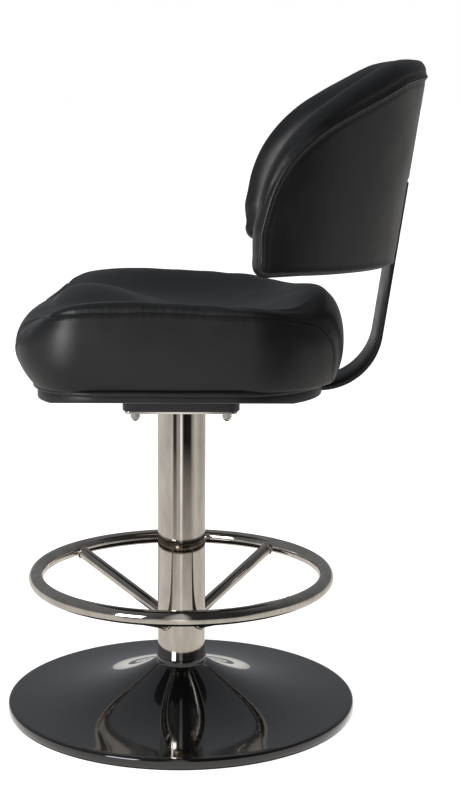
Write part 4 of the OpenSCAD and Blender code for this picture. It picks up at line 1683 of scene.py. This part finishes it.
@dataclass
class Studio:
    """A pale floor, soft lamps and the camera."""

    view: View
    floor_reach: float = 40.0
    floor_glow: float = 1.4
    room_glow: float = 0.8
    # Distances from the column between which the floor's plain mirrored tone gives way to the painted reflection
    # streaks
    reflection_streaks_from: float = 0.25
    reflection_streaks_to: float = 1.9
    # Painted reflection streaks on the glowing floor, for the polished metal to mirror: bearing in degrees from +X,
    # and the tone there
    floor_reflection_streaks: tuple = (
        (-180, "b9b7b4"), (-100, "c2c0bd"), (-62, "b4b2b0"), (-44, "c4c2c0"), (-37, "2e2d2d"), (-26, "282727"),
        (-18, "a2a09e"), (-8, "8a8886"), (-4, "ffffff"), (2, "ffffff"), (6, "6d6b6a"), (12, "191919"), (44, "1e1e1e"),
        (54, "8e8c8a"), (70, "c0bebc"), (100, "a09e9c"), (180, "b9b7b4"),
    )
    room_tones: tuple = (
        (-180, "85878b"), (-140, "8b8d91"), (-100, "8a8c90"), (-55, "7b7e84"), (-14, "55575b"), (-4, "dcdcdc"),
        (3, "dcdcdc"), (8, "3c3d3f"), (55, "3b3c3e"), (95, "6c6e72"), (140, "7f8185"), (180, "85878b"),
    )

    def floor(self) -> None:
        """Lays the floor: plain and pale to the eye; to every other ray it glows, with painted reflection streaks
        that the polished pieces mirror.
        """
        clear_selection()
        bpy.ops.mesh.primitive_plane_add(size=2 * self.floor_reach, location=(0, 0, 0))
        piece = named("studio_floor")
        material = bpy.data.materials.new("painted white floor")
        material.use_nodes = True
        tree = material.node_tree
        tree.nodes.clear()
        pale = add(tree, "ShaderNodeBsdfPrincipled", {"Base Color": srgb("f4f4f3"), "Roughness": 0.9})
        pale.inputs["Specular IOR Level"].default_value = 0.0
        pale.inputs["Emission Color"].default_value = srgb("ffffff")
        pale.inputs["Emission Strength"].default_value = 0.78
        way = add(tree, "ShaderNodeTexCoord").outputs["Object"]
        far = add(tree, "ShaderNodeVectorMath", {0: way}, operation="LENGTH")
        span = {"Value": far.outputs["Value"], "From Min": self.reflection_streaks_from, "From Max": self.reflection_streaks_to}
        reach = add(tree, "ShaderNodeMapRange", span)
        reflection_streaks = self.around(tree, way, self.floor_reflection_streaks)
        tones = {0: reach.outputs["Result"], 6: srgb("c6c3bf"), 7: reflection_streaks}
        mixed = add(tree, "ShaderNodeMix", tones, data_type="RGBA")
        # To all rays but the camera's the floor glows: it lights the stool and carries the painted reflection streaks
        dim = add(tree, "ShaderNodeEmission", {"Color": mixed.outputs[2], "Strength": self.floor_glow})
        add(tree, "ShaderNodeOutputMaterial", {"Surface": self.by_ray(tree, pale, dim)})
        piece.data.materials.append(material)

    def by_ray(self, tree: Tree, seen: bpy.types.Node, mirrored: bpy.types.Node) -> Socket:
        """Chooses between two shaders.

        Args:
            tree: the node tree.
            seen: the shader that is looked at directly.
            mirrored: the shader that pieces mirror and are lit by.

        Returns:
            The mixed shader's socket.
        """
        path = add(tree, "ShaderNodeLightPath")
        feeds = {0: path.outputs["Is Camera Ray"], 1: mirrored.outputs[0], 2: seen.outputs[0]}
        return add(tree, "ShaderNodeMixShader", feeds).outputs[0]

    def around(self, tree: Tree, way: Socket, stops: Sequence[tuple[float, str]]) -> Socket:
        """Colours directions by their bearing.

        Args:
            tree: the node tree.
            way: the direction.
            stops: bearings in degrees from +X, -180 to 180, and sRGB colours.

        Returns:
            The colour's socket.
        """
        split = add(tree, "ShaderNodeSeparateXYZ", {0: way})
        angle = add(tree, "ShaderNodeMath", {0: split.outputs["Y"], 1: split.outputs["X"]}, operation="ARCTAN2")
        turn = {"Value": angle.outputs[0], "From Min": -math.pi, "From Max": math.pi}
        share = add(tree, "ShaderNodeMapRange", turn)
        ramp = add(tree, "ShaderNodeValToRGB", {"Fac": share.outputs["Result"]})
        first, last = ramp.color_ramp.elements
        first.position, first.color = 0.0, srgb(stops[0][1])
        last.position, last.color = 1.0, srgb(stops[-1][1])
        for bearing, code in stops[1:-1]:
            stop = ramp.color_ramp.elements.new((bearing + 180) / 360)
            stop.color = srgb(code)
        return ramp.outputs["Color"]

    def world(self) -> None:
        """Sets the white backdrop and the greyer room that the polished metal mirrors."""
        world = bpy.data.worlds.new("studio")
        bpy.context.scene.world = world
        world.use_nodes = True
        tree = world.node_tree
        tree.nodes.clear()
        way = add(tree, "ShaderNodeTexCoord").outputs["Generated"]
        room = self.around(tree, way, self.room_tones)
        dim = add(tree, "ShaderNodeBackground", {"Color": room, "Strength": self.room_glow})
        white = add(tree, "ShaderNodeBackground", {"Color": srgb("ffffff"), "Strength": 1.0})
        add(tree, "ShaderNodeOutputWorld", {"Surface": self.by_ray(tree, white, dim)})

    def lamp(self, name: str, place: Sequence[float], size: Sequence[float], watts: float,
             aim: Sequence[float] = (0, 0, 0.5), mirrored: bool = True) -> None:
        """Hangs a softbox.

        Args:
            name: the lamp's name.
            place: its place in metres.
            size: its width and height in metres.
            watts: its power.
            aim: the point it faces.
            mirrored: whether shiny pieces mirror it.
        """
        light = bpy.data.lights.new(name, "AREA")
        light.shape, light.size, light.size_y, light.energy = "RECTANGLE", size[0], size[1], watts
        lamp = bpy.data.objects.new(name, light)
        lamp.location = place
        lamp.rotation_euler = (Vector(aim) - Vector(place)).to_track_quat("-Z", "Y").to_euler()
        lamp.visible_glossy = mirrored
        bpy.context.scene.collection.objects.link(lamp)

    def lamps(self) -> None:
        """Hangs the lamps."""
        sun = bpy.data.lights.new("sky_panel", "SUN")
        sun.energy, sun.angle = 1.1, math.radians(60)
        hung = bpy.data.objects.new("sky_panel", sun)
        hung.visible_glossy = False
        hung.rotation_euler = Vector((-0.35, 0.35, -1)).to_track_quat("-Z", "Y").to_euler()
        bpy.context.scene.collection.objects.link(hung)
        self.lamp("key_softbox", (2.3, -1.7, 1.1), (1.0, 1.4), 40)
        self.lamp("top_softbox", (0.2, 0.4, 2.6), (1.6, 1.0), 9, mirrored=False)

    def camera(self) -> None:
        """Sets the camera where the stool is seen from."""
        v = self.view
        data = bpy.data.cameras.new("camera")
        data.sensor_fit, data.sensor_width = "AUTO", 36.0
        data.lens = v.focal * data.sensor_width / v.frame_h
        data.clip_start, data.clip_end = 0.05, 200
        camera = bpy.data.objects.new("camera", data)
        camera.location = v.eye()
        camera.rotation_euler = v.facing().to_euler()
        bpy.context.scene.collection.objects.link(camera)
        bpy.context.scene.camera = camera

    def build(self) -> None:
        """Sets up the whole studio."""
        self.floor()
        self.world()
        self.lamps()
        self.camera()
        bpy.context.scene.view_settings.view_transform = "Standard"


def main() -> None:
    """Loads the frame, builds every sub-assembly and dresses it."""
    logging.basicConfig(level=logging.INFO, format="%(name)s: %(message)s")
    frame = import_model()
    view = View()
    paints = Paintbox()
    KeptNodes().build(frame["nodes"], paints)
    TrumpetBase().build(paints)
    Column().build(paints)
    Footrest().build(paints)
    PlateStack().build(paints)
    BackBracket().build(paints)
    SeatPan().build(paints)
    SeatCushion().build(paints, view)
    BackRest().build(paints)
    Studio(view).build()


if __name__ == "__main__":
    main()
